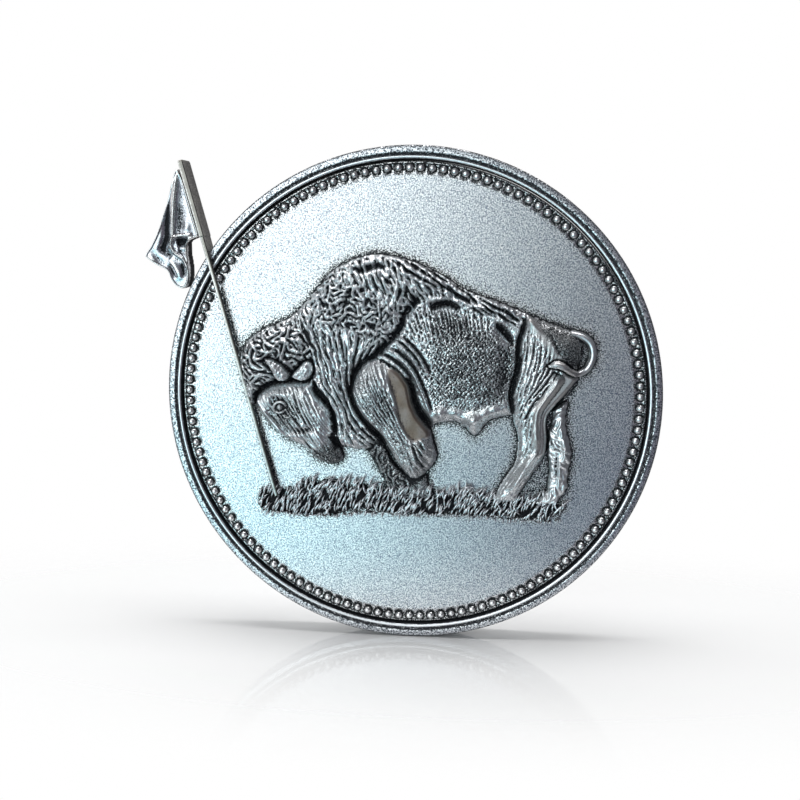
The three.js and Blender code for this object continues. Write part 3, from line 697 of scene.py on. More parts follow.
def sculpt_spine(relief):
    """The ragged fringe along the back, with deep holes under its locks."""
    h = relief.height
    for path, width, rise in SPINE_HOLES:
        relief.ridge(h, path, width, rise, 0.3)
    for path in SPINE_LOCKS:
        relief.ridge(h, path, 0.22, 0.34, 0.3)
    depth = relief.depth("body", BODY)
    back = ease(depth, 0.0, 0.2) * (1 - ease(depth, 1.1, 1.9))
    along = ease(relief.u, -3.0, 0.0) * (1 - ease(relief.u, 10.6, 12.0)) * ease(relief.v, 6.0, 8.0)
    h += 0.32 * back * along * relief.strands(relief.flow(SPINE_FLOW), 0.5, 0.9, 2)


def sculpt_bison():
    relief = Sculpt()
    sculpt_masses(relief)
    sculpt_muscles(relief)
    sculpt_spine(relief)
    sculpt_head(relief)
    sculpt_hair(relief)
    sculpt_tail(relief)
    return relief


# ---- From heights to meshes in the frame ----

SEAT_GAP = 0.04  # the pieces' clearance from the face they are seated on
FIELD_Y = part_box("bison")[1].y + SEAT_GAP * MM  # the face's flat field
SUNK = 0.12  # how far a relief's underside lies behind the field


def place(points):
    """Rows of u, v and height in millimetres, as rows of x, y and z in the frame's metres."""
    u, v, height = np.asarray(points, float).T
    return np.stack([u * MM, FIELD_Y - height * MM, v * MM], axis=1)


def make_piece(name, points, faces, replaced, smooth=True):
    """A mesh object of design points that rides on the coin and stands for a CAD node."""
    mesh = bpy.data.meshes.new(name)
    mesh.from_pydata(place(points).tolist(), [], faces)
    mesh.validate()
    mesh.polygons.foreach_set("use_smooth", [smooth] * len(mesh.polygons))
    piece = bpy.data.objects.new(name, mesh)
    bpy.context.scene.collection.objects.link(piece)
    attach(piece, "root")
    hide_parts(replaced)
    return piece


def face_outwards(piece, fill=False):
    """Turns a closed mesh's faces outwards; with fill, its open ends are closed first."""
    work = bmesh.new()
    work.from_mesh(piece.data)
    if fill:
        bmesh.ops.holes_fill(work, edges=[e for e in work.edges if e.is_boundary], sides=0)
    bmesh.ops.recalc_face_normals(work, faces=work.faces)
    work.to_mesh(piece.data)
    work.free()


def set_values(piece, name, values):
    """Stores one number for each vertex, which the piece's material reads."""
    attribute = piece.data.attributes.new(name, "FLOAT", "POINT")
    attribute.data.foreach_set("value", np.asarray(values, np.float32))


def block_faces(kept):
    """The grid points that the kept cells use, the cells' faces, and the loops of points round them."""
    kept = kept.copy()
    while True:  # cells that touch only at a corner are joined
        one = kept[:-1, :-1] & kept[1:, 1:] & ~kept[1:, :-1] & ~kept[:-1, 1:]
        two = kept[1:, :-1] & kept[:-1, 1:] & ~kept[:-1, :-1] & ~kept[1:, 1:]
        if not (one | two).any():
            break
        for rows in (slice(None, -1), slice(1, None)):
            for columns in (slice(None, -1), slice(1, None)):
                kept[rows, columns] |= one | two
    rows, columns = kept.shape
    used = np.zeros((rows + 1, columns + 1), bool)
    for down in (0, 1):
        for right in (0, 1):
            used[down:down + rows, right:right + columns] |= kept
    index = np.full(used.shape, -1)
    index[used] = np.arange(used.sum())
    j, i = np.nonzero(kept)
    corners = [index[j, i], index[j, i + 1], index[j + 1, i + 1], index[j + 1, i]]
    top = np.stack(corners, axis=1)
    padded = np.pad(kept, 1)
    follows = {}
    around = (padded[j, i + 1], padded[j + 1, i + 2], padded[j + 2, i + 1], padded[j + 1, i])
    for side, covered in enumerate(around):
        edge = ~covered
        for p, q in zip(corners[side][edge], corners[(side + 1) % 4][edge]):
            follows[int(p)] = int(q)
    loops = []
    while follows:
        start, after = follows.popitem()
        loop = [start]
        while after != start:
            loop.append(after)
            after = follows.pop(after)
        loops.append(loop)
    return used, top, loops


def relief_block(relief, levels, kept=None):
    """A height field's closed mesh: its points, its faces, the grid points used and its edge's order.

    A ring of vertices lies under the edge at each of the levels, the last of which is the underside.
    """
    height = relief.height
    bottom = levels[-1]
    if kept is None:
        high = height > bottom
        kept = high[:-1, :-1] | high[1:, :-1] | high[:-1, 1:] | high[1:, 1:]
    used, faces, loops = block_faces(kept)
    faces = faces.tolist()
    surface = np.stack([relief.u[used], relief.v[used], np.maximum(height[used], bottom + 0.01)], axis=1)
    edge = [p for loop in loops for p in loop]
    count = len(edge)
    under = {p: len(surface) + k for k, p in enumerate(edge)}
    for loop in loops:
        for p, q in zip(loop, loop[1:] + loop[:1]):
            faces.append((q, p, under[p], under[q]))
            for k in range(count, count * len(levels), count):
                faces.append((under[q] + k - count, under[p] + k - count, under[p] + k, under[q] + k))
    last = len(surface) + count * (len(levels) - 1)
    outlines = [[Vector((*surface[p][:2], 0)) for p in loop] for loop in loops]
    faces += [(last + a, last + b, last + c) for a, b, c in tessellate_polygon(outlines)]
    rings = [np.column_stack([surface[edge][:, :2], np.full(count, level)]) for level in levels]
    return np.concatenate([surface, *rings]), faces, used, edge


def relief_piece(name, relief, replaced, bottom=-SUNK, kept=None):
    """A closed piece from a height field, with a ring of vertices low on its wall and one under it."""
    points, faces, used, edge = relief_block(relief, (bottom + 0.05, bottom), kept)
    piece = make_piece(name, points, faces, replaced)
    face_outwards(piece)
    return piece, used, edge


def finish_values(piece, used, rim, name, field, wall=None, back=None):
    """Stores a grid field on a relief piece's vertices.

    The rings on its wall and under it have one value each, or else the value of the edge above them.
    """
    top = field[used]
    rings = [top[rim] if value is None else np.full(len(rim), value) for value in (wall, back)]
    set_values(piece, name, np.concatenate([top, *rings]))


# ---- Finishes ----


class Finish:
    """A small helper that builds a node material."""

    def __init__(self, name, metallic=1.0, roughness=0.35):
        self.material = bpy.data.materials.new(name)
        self.material.use_nodes = True
        self.tree = self.material.node_tree
        self.shader = self.tree.nodes["Principled BSDF"]
        self.shader.inputs["Metallic"].default_value = metallic
        self.shader.inputs["Roughness"].default_value = roughness
        self.place_node = self.tree.nodes.new("ShaderNodeTexCoord")

    def node(self, kind, **inputs):
        node = self.tree.nodes.new(kind)
        for key, value in inputs.items():
            self.feed(node, key, value)
        return node

    def feed(self, node, key, value):
        socket = node.inputs[key.replace("_", " ")] if isinstance(key, str) else node.inputs[key]
        if isinstance(value, bpy.types.NodeSocket):
            self.tree.links.new(value, socket)
        else:
            socket.default_value = value

    def value(self, name):
        node = self.node("ShaderNodeAttribute")
        node.attribute_name = name
        return node.outputs["Fac"]

    def noise(self, size, detail=2.0, roughness=0.5, stretch=(1, 1, 1), lean=0):
        """Noise in blobs of about the given size in millimetres; a small stretch draws them out that way."""
        node = self.node("ShaderNodeTexNoise", Scale=1 / (size * MM), Detail=detail, Roughness=roughness)
        turned = self.node("ShaderNodeMapping")
        turned.vector_type = "TEXTURE"
        turned.inputs["Scale"].default_value = [1 / part for part in stretch]
        turned.inputs["Rotation"].default_value = (0, math.radians(lean), 0)
        self.tree.links.new(self.place_node.outputs["Object"], turned.inputs["Vector"])
        self.tree.links.new(turned.outputs["Vector"], node.inputs["Vector"])
        return node.outputs["Fac"]

    def math(self, operation, a, b):
        node = self.node("ShaderNodeMath")
        node.operation = operation
        self.feed(node, 0, a)
        self.feed(node, 1, b)
        return node.outputs[0]

    def add(self, a, b):
        return self.math("ADD", a, b)

    def times(self, a, b):
        return self.math("MULTIPLY", a, b)

    def about(self, noise, gain):
        """A noise about zero, made stronger or weaker."""
        return self.times(self.math("SUBTRACT", noise, 0.5), gain)

    def span(self, value, low, high, to_low=0.0, to_high=1.0):
        node = self.node("ShaderNodeMapRange")
        node.interpolation_type = "SMOOTHSTEP"
        for key, given in (("Value", value), ("From Min", low), ("From Max", high), ("To Min", to_low),
                           ("To Max", to_high)):
            self.feed(node, key, given)
        return node.outputs["Result"]

    def mix(self, amount, a, b):
        node = self.node("ShaderNodeMix")
        node.data_type = "RGBA"
        self.feed(node, 0, amount)
        for socket, value in ((6, a), (7, b)):
            self.feed(node, socket, (*value, 1) if isinstance(value, tuple) else value)
        return node.outputs[2]

    def mix_value(self, amount, a, b):
        node = self.node("ShaderNodeMix")
        self.feed(node, 0, amount)
        self.feed(node, 2, a)
        self.feed(node, 3, b)
        return node.outputs[0]

    def bump(self, height, strength, depth):
        node = self.node("ShaderNodeBump", Strength=strength, Distance=depth * MM, Height=height)
        self.tree.links.new(node.outputs["Normal"], self.shader.inputs["Normal"])

    def surface(self, **inputs):
        for key, value in inputs.items():
            self.feed(self.shader, key, (*value, 1) if isinstance(value, tuple) else value)

    def tarnish(self, oxide, metal, black, roughness):
        """Bare metal where oxide is 0, and a matt black crust that is hardly metallic where it is 1."""
        self.surface(Base_Color=self.mix(oxide, metal, black), Specular_IOR_Level=0.2,
                     Metallic=self.span(oxide, 0.2, 1.0, 1.0, 0.1),
                     Roughness=self.mix_value(oxide, roughness, OXIDE_ROUGHNESS))


OXIDE = (0.012, 0.013, 0.016)
SPECK_OXIDE = (0.03, 0.032, 0.036)
OXIDE_ROUGHNESS = 0.7
SILVER = (0.93, 0.95, 0.97)
WARM_SILVER = (0.23, 0.178, 0.144)


def relief_finish(name, bright=SILVER, warm=WARM_SILVER, rough=0.3, soften=0.0, hatched=False):
    """Antique silver: oxide in the hollows, rubbed bright where the relief stands up.

    The mesh says where: 'oxide' is 1 in the hollows, and 'rubbed' is 1 on bare metal, which is warm in
    colour and duller by soften. A hatched finish also has fine combed hair wherever 'hatch' is 1.
    """
    f = Finish(name)
    grain = f.noise(0.1, 3.0)
    patches = f.noise(1.4, 3.0)
    oxide = f.add(f.value("oxide"), f.about(grain, 2.0))
    oxide = f.add(oxide, f.about(patches, 0.3))
    relief = grain
    if hatched:
        comb = f.noise(0.12, 2.0, stretch=(1, 1, 0.22), lean=14)
        cross = f.noise(0.12, 2.0, stretch=(0.25, 1, 1), lean=-28)
        lines = f.add(f.times(comb, 0.55), f.times(cross, 0.45))
        lines = f.about(lines, f.value("hatch"))
        oxide = f.add(oxide, f.times(lines, -2.0))
        relief = f.add(grain, f.times(lines, 2.0))
    oxide = f.span(oxide, 0.2, 0.8)
    metal = f.mix(f.value("rubbed"), bright, warm)
    metal = f.mix(f.span(patches, 0.35, 0.7, 0.0, 0.2), metal, (0.5, 0.5, 0.55))
    polished = f.span(grain, 0.3, 0.7, rough - 0.06, rough + 0.08)
    polished = f.add(polished, f.times(f.value("rubbed"), soften))
    f.tarnish(oxide, metal, OXIDE, polished)
    f.bump(relief, 0.5, 0.025)
    return f.material


def field_finish(name):
    """Sandblasted silver: pitted all over, with oxide specks that crowd in beside the relief.

    The mesh says where: 'halo' is how thick the specks are, and 'polish' is 1 where there are no pits.
    """
    f = Finish(name)
    coarse = f.noise(0.12, 1.0)
    fine = f.noise(0.08, 1.0)
    cloud = f.noise(7.0, 2.0)
    blasted = f.math("SUBTRACT", 1.0, f.value("polish"))
    pits = f.add(f.times(coarse, 0.65), f.times(fine, 0.35))
    specks = f.about(pits, f.add(f.times(blasted, 3.6), 0.9))
    crowd = f.add(f.value("halo"), f.about(cloud, 0.12))
    oxide = f.span(f.add(specks, crowd), 0.62, 0.86)
    shade = f.times(f.span(pits, 0.4, 0.62), blasted)
    metal = f.mix(shade, (1.0, 1.0, 1.0), (0.2, 0.24, 0.31))
    f.tarnish(oxide, metal, SPECK_OXIDE, 0.3)
    f.bump(f.times(f.math("SUBTRACT", 1.0, pits), blasted), 0.8, 0.03)
    return f.material


def rim_finish():
    """Antique silver on the turned rim: 'oxide' is 1 in the valleys and below 0 on the bare ridge."""
    f = Finish("rim_metal")
    grain = f.noise(0.13, 2.0, 0.55)
    streak = f.noise(2.5, 3.0)
    oxide = f.add(f.value("oxide"), f.about(grain, 2.6))
    oxide = f.add(oxide, f.about(streak, 0.15))
    oxide = f.span(oxide, 0.3, 0.8)
    pitted = f.times(f.span(grain, 0.38, 0.62), f.span(f.value("oxide"), -0.3, 0.2))
    metal = f.mix(pitted, (0.95, 0.97, 1.0), (0.2, 0.23, 0.28))
    f.tarnish(oxide, metal, (0.03, 0.032, 0.038), 0.34)
    f.bump(grain, 0.45, 0.04)
    return f.material


def lance_finish():
    """Satin silver, warm and a little tarnished, made bright where the mesh marks it: a painted highlight
    down its left edge, and brighter on the front over the coin.
    """
    f = Finish("lance_metal")
    drawn = f.noise(0.12, 2.0)
    cloud = f.noise(1.6, 3.0)
    metal = f.mix(f.span(cloud, 0.3, 0.7), (0.3, 0.285, 0.26), (0.22, 0.21, 0.195))
    # painted highlight: the metal is mixed towards bright where the mesh marks it, most down the lance's
    # left edge
    edge = f.add(f.value("rubbed"), f.about(drawn, 0.6))
    metal = f.mix(f.span(edge, 0.45, 0.85), metal, (0.85, 0.84, 0.82))
    oxide = f.span(f.add(f.value("oxide"), f.about(drawn, 0.8)), 0.3, 0.8)
    f.tarnish(oxide, metal, OXIDE, 0.34)
    f.bump(drawn, 0.35, 0.02)
    return f.material


# ---- The pieces ----

HOLLOWS = ((0.16, 5.0), (0.5, 1.5), (1.3, 0.35))  # sizes of hollow, and how black each makes the finish


def build_bison():
    """The bison, black where its surface is hollow or low, and where its coat is in shade."""
    relief = sculpt_bison()
    height = np.maximum(relief.height, 0)
    hollow = sum(gain * (relief.blur(height, radius) - height) for radius, gain in HOLLOWS)
    smooth = np.clip(relief.smooth["strip"] + 0.45 * relief.smooth["bare"], 0, 1)
    # the tone brings painted shade on the flank, belly and legs behind, and a painted highlight on the eye,
    # into the oxide
    oxide = np.clip(ease(hollow, -0.16, 0.62) + relief.tone, 0, 1) * (1 - 0.35 * smooth)
    oxide = np.maximum(oxide, ease(0.6 - relief.height, 0.0, 0.4))
    hatch = relief.smooth["flank"] * (0.5 + 0.5 * ease(relief.v, -1.6, 0.0))
    piece, used, rim = relief_piece("bison_relief", relief, "bison")
    for name, field in (("oxide", oxide), ("rubbed", smooth), ("hatch", hatch)):
        finish_values(piece, used, rim, name, field)
    piece.data.materials.append(relief_finish("bison_metal", rough=0.33, soften=0.14, hatched=True))


FIELD_RADIUS = 22.55  # where the field meets the strip of beads


def beside_relief(u, v):
    """Distance of points on the field from whatever stands on it."""
    outside = np.full(u.shape, 1e9)
    for outline in (BODY, FACE, FORELEG, LOWER_FORELEG, FAR_FORELEG, HIND_LEG, FAR_HIND_LEG):
        outside = np.minimum(outside, -inside_distance(u, v, outline))
    return np.minimum(outside, nearest(u, v, smooth_curve(TAIL))[0] - TAIL_RADIUS)


def lathe(name, section, count, replaced, closed=True):
    """A turned piece from its half section of (radius, height) points; an open one is closed flat."""
    section = np.array(section, float)
    turn = np.arange(count)[:, None] * 2 * math.pi / count
    radius, height = np.broadcast_to(section.T[:, None], (2, count, len(section)))
    points = np.stack([np.cos(turn) * radius, np.sin(turn) * radius, height], axis=2).reshape(-1, 3)
    rows = len(section)
    faces = []
    for i in range(count):
        here, there = i * rows, (i + 1) % count * rows
        for k in range(rows if closed else rows - 1):
            m = (k + 1) % rows
            faces.append((here + k, there + k, there + m, here + m))
    piece = make_piece(name, points, faces, replaced)
    face_outwards(piece, fill=not closed)
    return piece


BACK = -2.3  # the flat of the reverse
CHANNEL_FLOOR = -0.28
CHANNEL_WALL = 23.6  # its outer wall, the inside of the disc's lip
DISC_RADIUS = 23.92
DISC_SEGMENTS = 480
RIM_SEGMENTS = 720
# between the near hind leg and the far one, where the field is painted black as shade
LEG_GAP = [(13.2, -4.4), (14.9, -4.4), (14.6, -7.2), (14.3, -9.4), (11.4, -9.4)]


def build_disc():
    """The field, the channel for the beads, the lip and the flat reverse."""
    section = [(radius, 0.0) for radius in np.arange(0.2, FIELD_RADIUS - 0.1, 0.2)]
    section += [(FIELD_RADIUS - 0.01, 0.0), (FIELD_RADIUS, 0.0), (FIELD_RADIUS + 0.01, -0.03),
                (FIELD_RADIUS + 0.01, CHANNEL_FLOOR), (CHANNEL_WALL, CHANNEL_FLOOR),
                (23.61, -0.06), (23.65, -0.01), (23.68, 0.0), (23.82, 0.0), (23.88, -0.08),
                (DISC_RADIUS, -0.25), (DISC_RADIUS, BACK + 0.05), (23.85, BACK)]
    section += [(radius, BACK) for radius in np.arange(23.0, 0.9, -1.0)]
    piece = lathe("coin_disc_body", section, DISC_SEGMENTS, "coin_disc", closed=False)
    where = np.empty(len(piece.data.vertices) * 3)
    piece.data.vertices.foreach_get("co", where)
    where = where.reshape(-1, 3) / MM
    u, v, height = where[:, 0], where[:, 2], FIELD_Y / MM - where[:, 1]
    radius = np.hypot(u, v)
    lance = nearest(u, v, smooth_curve([LANCE_FOOT, LANCE_TOP]))[0] - 0.25
    turf = -inside_distance(u, v, TURF)
    # how thick the specks are beside a thing, and how far they reach from it
    halo = np.zeros(len(u))
    for gap, thick, reach in ((beside_relief(u, v), 1.35, 0.72), (turf + 0.2, 1.35, 0.45),
                              (lance, 1.15, 0.35), (FIELD_RADIUS - radius, 0.5, 0.25)):
        halo = np.maximum(halo, thick * np.exp(-np.maximum(gap, 0) / reach))
    # painted shade: the specks thicken to black in the gap between the hind legs
    halo = np.maximum(halo, 0.85 * ease(inside_distance(u, v, LEG_GAP), -0.2, 0.3))
    halo = np.where(radius > FIELD_RADIUS + 0.005, 0.72, halo)
    halo = np.where((radius > 23.55) & (radius < 23.68), 1.2, halo)
    halo = np.where(radius > 23.86, 1.5, halo)
    reverse = (height < BACK + 0.2) & (radius < 23.5)
    halo = np.where(reverse, 0.1 + 0.9 * np.exp(-(23.6 - radius) / 0.5), halo)
    set_values(piece, "halo", halo)
    piece.data.materials.append(field_finish("sandblasted_field"))


# the rim's half section: the bore, the fine ridge, the valley, the land, the edge and the back
RIM_SECTION = [
    (24.04, -1.6), (24.04, -0.2), (24.05, 0.1), (24.07, 0.26), (24.09, 0.35), (24.12, 0.392), (24.17, 0.42),
    (24.22, 0.437), (24.27, 0.443), (24.32, 0.437), (24.37, 0.415), (24.41, 0.38), (24.46, 0.352),
    (24.52, 0.36), (24.58, 0.4), (24.65, 0.452), (24.72, 0.485), (24.79, 0.495), (24.88, 0.49),
    (24.98, 0.479), (25.08, 0.466), (25.18, 0.452), (25.26, 0.432), (25.32, 0.395), (25.37, 0.32),
    (25.395, 0.22), (25.4, 0.1), (25.4, -1.0), (25.4, -1.8), (25.4, -2.2), (25.37, -2.4), (25.28, -2.56),
    (25.14, -2.66), (24.98, -2.7), (24.5, -2.7), (24.2, -2.68), (24.08, -2.6), (24.04, -2.45),
]
# how black each part of it is, from the radius at which the part starts
RIM_SHADES = [(0.0, 1.3), (24.08, 0.7), (24.11, -0.35), (24.36, 0.4), (24.43, 1.0), (24.7, 0.55),
              (24.77, 0.28), (25.22, 0.45), (25.3, 0.85), (25.39, 0.42)]
RIM_BACK_SHADE = 0.25


def build_rim():
    """The rim ring: a fine ridge, a shallow valley and a broad land with rounded shoulders."""
    piece = lathe("rim_ring_body", RIM_SECTION, RIM_SEGMENTS, "rim_ring")
    oxide = []
    for radius, height in RIM_SECTION:
        shade = [dark for start, dark in RIM_SHADES if radius >= start][-1]
        oxide.append(RIM_BACK_SHADE if height < BACK else shade)
    set_values(piece, "oxide", np.tile(oxide, RIM_SEGMENTS))
    piece.data.materials.append(rim_finish())


BEAD_COUNT = 130
BEAD_CIRCLE = 23.23
BEAD_RADIUS = 0.43
BEAD_RINGS = 7  # rings of vertices on a bead, from its top to its foot
BEAD_SIDES = 16
BEAD_SHINE = 0.85  # how free a bead is of the field's pits
STRIP_ROWS = [FIELD_RADIUS + 0.015, FIELD_RADIUS + 0.02, 22.66, 22.76, 22.86, 22.96, 23.06, 23.23, 23.4,
              23.5, 23.58, 23.59]
STRIP_STEPS = 10  # columns of the strip for each bead


def build_beads():
    """The beads, each a round stud, on a strip that oxide has filled in a moat round each of them."""
    random = np.random.default_rng(SEED + 1)
    points, faces, halo = [], [], []
    radii = [STRIP_ROWS[0], *STRIP_ROWS, STRIP_ROWS[-1]]
    rows = len(radii)
    count = BEAD_COUNT * STRIP_STEPS
    for i in range(count):
        turn = 2 * math.pi * i / count
        off = ((i / STRIP_STEPS) % 1 - 0.5) * 2 * math.pi / BEAD_COUNT * BEAD_CIRCLE
        here, there = i * rows, (i + 1) % count * rows
        for k, radius in enumerate(radii):
            moat = bell(max(math.hypot(off, radius - BEAD_CIRCLE) - BEAD_RADIUS, 0) / 0.2)
            height = CHANNEL_FLOOR if k in (0, rows - 1) else -0.1 * moat
            points.append((radius * math.cos(turn), radius * math.sin(turn), height))
            outer = max(0.0, min(1.0, (radius - 23.3) / 0.2))
            halo.append(max(1.3 * moat, 0.4 + 0.35 * outer))
            m = (k + 1) % rows
            faces.append((here + k, here + m, there + m, there + k))
    polish = [0.0] * len(points)
    for bead in range(BEAD_COUNT):
        turn = 2 * math.pi * (bead + 0.5) / BEAD_COUNT
        size = BEAD_RADIUS * (1 + random.normal(0, 0.025))
        rise = 0.44 * (1 + random.normal(0, 0.04)) + 0.06
        u0 = (BEAD_CIRCLE + random.normal(0, 0.012)) * math.cos(turn)
        v0 = (BEAD_CIRCLE + random.normal(0, 0.012)) * math.sin(turn)
        first = len(points)
        for r in range(1, BEAD_RINGS + 1):
            lean = math.pi / 2 * r / BEAD_RINGS
            wide = size * math.sin(lean) ** 0.9
            for s in range(BEAD_SIDES):
                around = 2 * math.pi * s / BEAD_SIDES
                points.append((u0 + wide * math.cos(around), v0 + wide * math.sin(around),
                               -0.12 + rise * math.cos(lean)))
            halo += [0.2 + max(0.0, (r / BEAD_RINGS - 0.15) / 0.75) ** 1.1] * BEAD_SIDES
        top, bottom = len(points), len(points) + 1
        points += [(u0, v0, -0.12 + rise), (u0, v0, -0.2)]
        halo += [0.1, 1.0]
        polish += [BEAD_SHINE] * (BEAD_RINGS * BEAD_SIDES + 2)
        last = first + (BEAD_RINGS - 1) * BEAD_SIDES
        for s in range(BEAD_SIDES):
            n = (s + 1) % BEAD_SIDES
            faces.append((top, first + s, first + n))
            for a in range(first, last, BEAD_SIDES):
                faces.append((a + s, a + BEAD_SIDES + s, a + BEAD_SIDES + n, a + n))
            faces.append((last + s, bottom, last + n))
    piece = make_piece("bead_border_strip", points, faces, "bead_border")
    set_values(piece, "halo", halo)
    set_values(piece, "polish", polish)
    piece.data.materials.append(field_finish("bead_metal"))


# ---- The turf ----

TURF = [
    (-15.95, -10.3), (-15.4, -9.9), (-14.2, -10.0), (-13.0, -9.7), (-12.0, -9.6), (-11.2, -9.0),
    (-10.4, -8.75), (-9.4, -8.85), (-8.4, -8.5), (-7.4, -8.8), (-6.2, -9.15), (-5.0, -9.0),
    (-3.4, -9.4), (-1.6, -9.6), (0.4, -9.5), (3.0, -9.8), (6.0, -9.7), (9.0, -9.95), (12.0, -10.3),
    (14.0, -10.1), (15.4, -10.5), (16.2, -10.9), (15.4, -11.8), (13.8, -12.4), (12.4, -12.5),
    (10.0, -12.1), (6.0, -12.15), (2.0, -12.2), (-2.0, -12.1), (-4.4, -11.8), (-6.2, -12.0),
    (-8.0, -12.5), (-10.4, -12.6), (-13.0, -12.4), (-15.0, -12.2), (-15.9, -11.6),
]
BLADE_STEPS = 6
BLADE_COUNT = 520
BLADE_LEAN = 61  # degrees from the horizontal that most blades stand at
# blades that stand out from the rest: where, their lean in degrees and their length
LONG_BLADES = [
    (-1.2, -10.3, 47, 2.0), (-10.9, -9.6, 72, 1.3), (-8.7, -9.5, 60, 1.4), (-5.2, -9.9, 85, 1.35),
    (-4.4, -10.0, 110, 1.2), (3.6, -10.5, 62, 1.3), (6.2, -10.6, 55, 1.4), (12.6, -11.0, 60, 1.4),
    (14.7, -11.8, 42, 2.9), (-11.8, -10.2, 80, 1.2), (-9.6, -9.7, 50, 1.4), (-7.6, -9.9, 78, 1.4),
]


class Blades:
    """Curved spikes of triangular section, their sharp edges to the front, black at the root."""

    def __init__(self, points, faces, oxide):
        self.points, self.faces, self.oxide = points, faces, oxide

    def add(self, u, v, lean, length, width, low, rise, bend):
        first = len(self.points)
        for k in range(BLADE_STEPS):
            t = k / BLADE_STEPS
            angle = lean + bend * (2 * t - 1)
            cu = u + length * t * math.cos(lean + bend * (t - 1))
            cv = v + length * t * math.sin(lean + bend * (t - 1))
            wide = width * (0.75 + 0.9 * t - 1.55 * t * t) * 0.5
            up = low + rise * math.sin(math.pi * (0.2 + 0.7 * t))
            nu, nv = -math.sin(angle) * wide, math.cos(angle) * wide
            self.points.append((cu + nu, cv + nv, up - wide * 1.3))
            self.points.append((cu, cv, up + wide * 0.5))
            self.points.append((cu - nu, cv - nv, up - wide * 1.3))
            root = max(0.0, 1 - 2.6 * t)
            self.oxide.extend((0.1 + 0.9 * root, -0.5 + 1.2 * root, 0.7 + 0.5 * root))
        tip = len(self.points)
        self.points.append((u + length * math.cos(lean), v + length * math.sin(lean),
                            low + rise * math.sin(math.pi * 0.9)))
        self.oxide.append(-0.3)
        last = tip - 3
        for side in range(3):
            n = (side + 1) % 3
            for a in range(first, last, 3):
                self.faces.append((a + side, a + n, a + 3 + n, a + 3 + side))
            self.faces.append((last + side, last + n, tip))
        self.faces.append((first + 2, first + 1, first))


def build_turf():
    """A low ragged mound, thick with separate curved blades that lean to the right."""
    random = np.random.default_rng(SEED + 2)
    ground = Grid(-16.6, 17.4, -13.1, -8.0, 0.16)
    depth = inside_distance(ground.u, ground.v, TURF) - 0.3 + 0.14 * ground.noise(0.5)
    ground.height = np.where(depth > 0, 0.12 + 0.28 * np.sqrt(np.clip(depth, 0, 1)), 3.0 * depth)
    ground.height += 0.06 * ground.noise(0.35) * (depth > 0)
    points, faces, _, _ = relief_block(ground, (-SUNK,))
    points = points.tolist()
    oxide = [1.1] * len(points)
    blades = Blades(points, faces, oxide)
    tries = 6 * BLADE_COUNT
    spots = np.stack([random.uniform(-16.2, 15.8, tries), random.uniform(-12.7, -9.0, tries)], axis=1)
    low = 0.2 * (spots[:, 1] < -11.0)
    spots = spots[inside_distance(spots[:, 0], spots[:, 1], TURF) > 0.05 - low][:BLADE_COUNT]
    # short blades that hang along the bottom edge
    for u in np.arange(-15.6, 15.6, 0.28):
        v = -12.1 - 0.25 * random.random() + (0.25 if -6 < u < 9 else 0)
        blades.add(u + random.normal(0, 0.15), v, math.radians(random.normal(-100, 30)),
                   random.uniform(0.3, 0.75), 0.24, 0.2, random.uniform(0.1, 0.25), random.normal(0.3, 0.3))
    for u, v in spots[np.argsort(-spots[:, 1])]:
        lean = math.radians(random.normal(BLADE_LEAN, 13))
        if random.random() < 0.06:
            lean = math.pi - lean
        blades.add(u, v, lean, random.uniform(0.9, 1.55), random.uniform(0.22, 0.34),
                   0.25 + random.uniform(0, 0.3), random.uniform(0.15, 0.4), random.normal(-0.3, 0.25))
    for u, v, lean, length in LONG_BLADES:
        blades.add(u, v, math.radians(lean), length, 0.38, 0.5, 0.35, -0.25)
    piece = make_piece("turf_blades", points, faces, "turf")
    face_outwards(piece)
    set_values(piece, "oxide", oxide)
    piece.data.materials.append(relief_finish("turf_metal", bright=(0.82, 0.84, 0.87), rough=0.26))


# ---- The lance and its guidon ----

LANCE_FOOT = (-13.95, -10.35)
LANCE_TOP = (-23.2, 24.05)
LANCE_FRONT = 1.04  # height of the lance's front above the field
LANCE_BACK = -1.5  # outside the coin's edge the lance is a deep bar
LEAVES_COIN = 25.55  # how far up its length it does so
HEAD_STARTS = 27.8
LANCE_BEVEL = 0.08
LANCE_LENGTH = math.dist(LANCE_FOOT, LANCE_TOP)
# distance up the lance, its half width there, and the heights of its front and of its back
LANCE_STATIONS = [
    (0.0, 0.17, 0.95, 0.1),
    (1.0, 0.18, 1.0, 0.25),
    (8.0, 0.18, 1.02, 0.5),
    (16.0, 0.18, 1.03, 0.56),
    (22.0, 0.185, LANCE_FRONT, 0.56),
    (LEAVES_COIN - 0.05, 0.19, LANCE_FRONT, 0.5),
    (LEAVES_COIN, 0.19, LANCE_FRONT, LANCE_BACK),
    (HEAD_STARTS - 0.1, 0.2, LANCE_FRONT, LANCE_BACK),
    (HEAD_STARTS, 0.25, 1.08, LANCE_BACK - 0.02),
    (LANCE_LENGTH - 0.25, 0.27, 1.1, LANCE_BACK - 0.02),
    (LANCE_LENGTH - 0.08, 0.26, 1.06, LANCE_BACK + 0.02),
    (LANCE_LENGTH, 0.21, 0.96, LANCE_BACK + 0.1),
]
# round the lance's section, from the left of its back: how black it is, its right side dark as painted
# shade, and how much painted highlight its edges carry, most on the left
LANCE_SHADES = (0.6, 0.6, 0.6, 0.6, 0.58, 0.5, 0.15, 0.0, 0.0, 0.3)
LANCE_HIGHLIGHT = (0, 0, 0, 0, 0, 0, 0.1, 0.7, 1.0, 0)
# the front of the part in front of the coin is made brighter still
LANCE_BRIGHTER_FRONT = (0, 0, 0, 0, 0, 0, 0.18, 0.18, 0, 0)  # more shine on the part in front of the coin


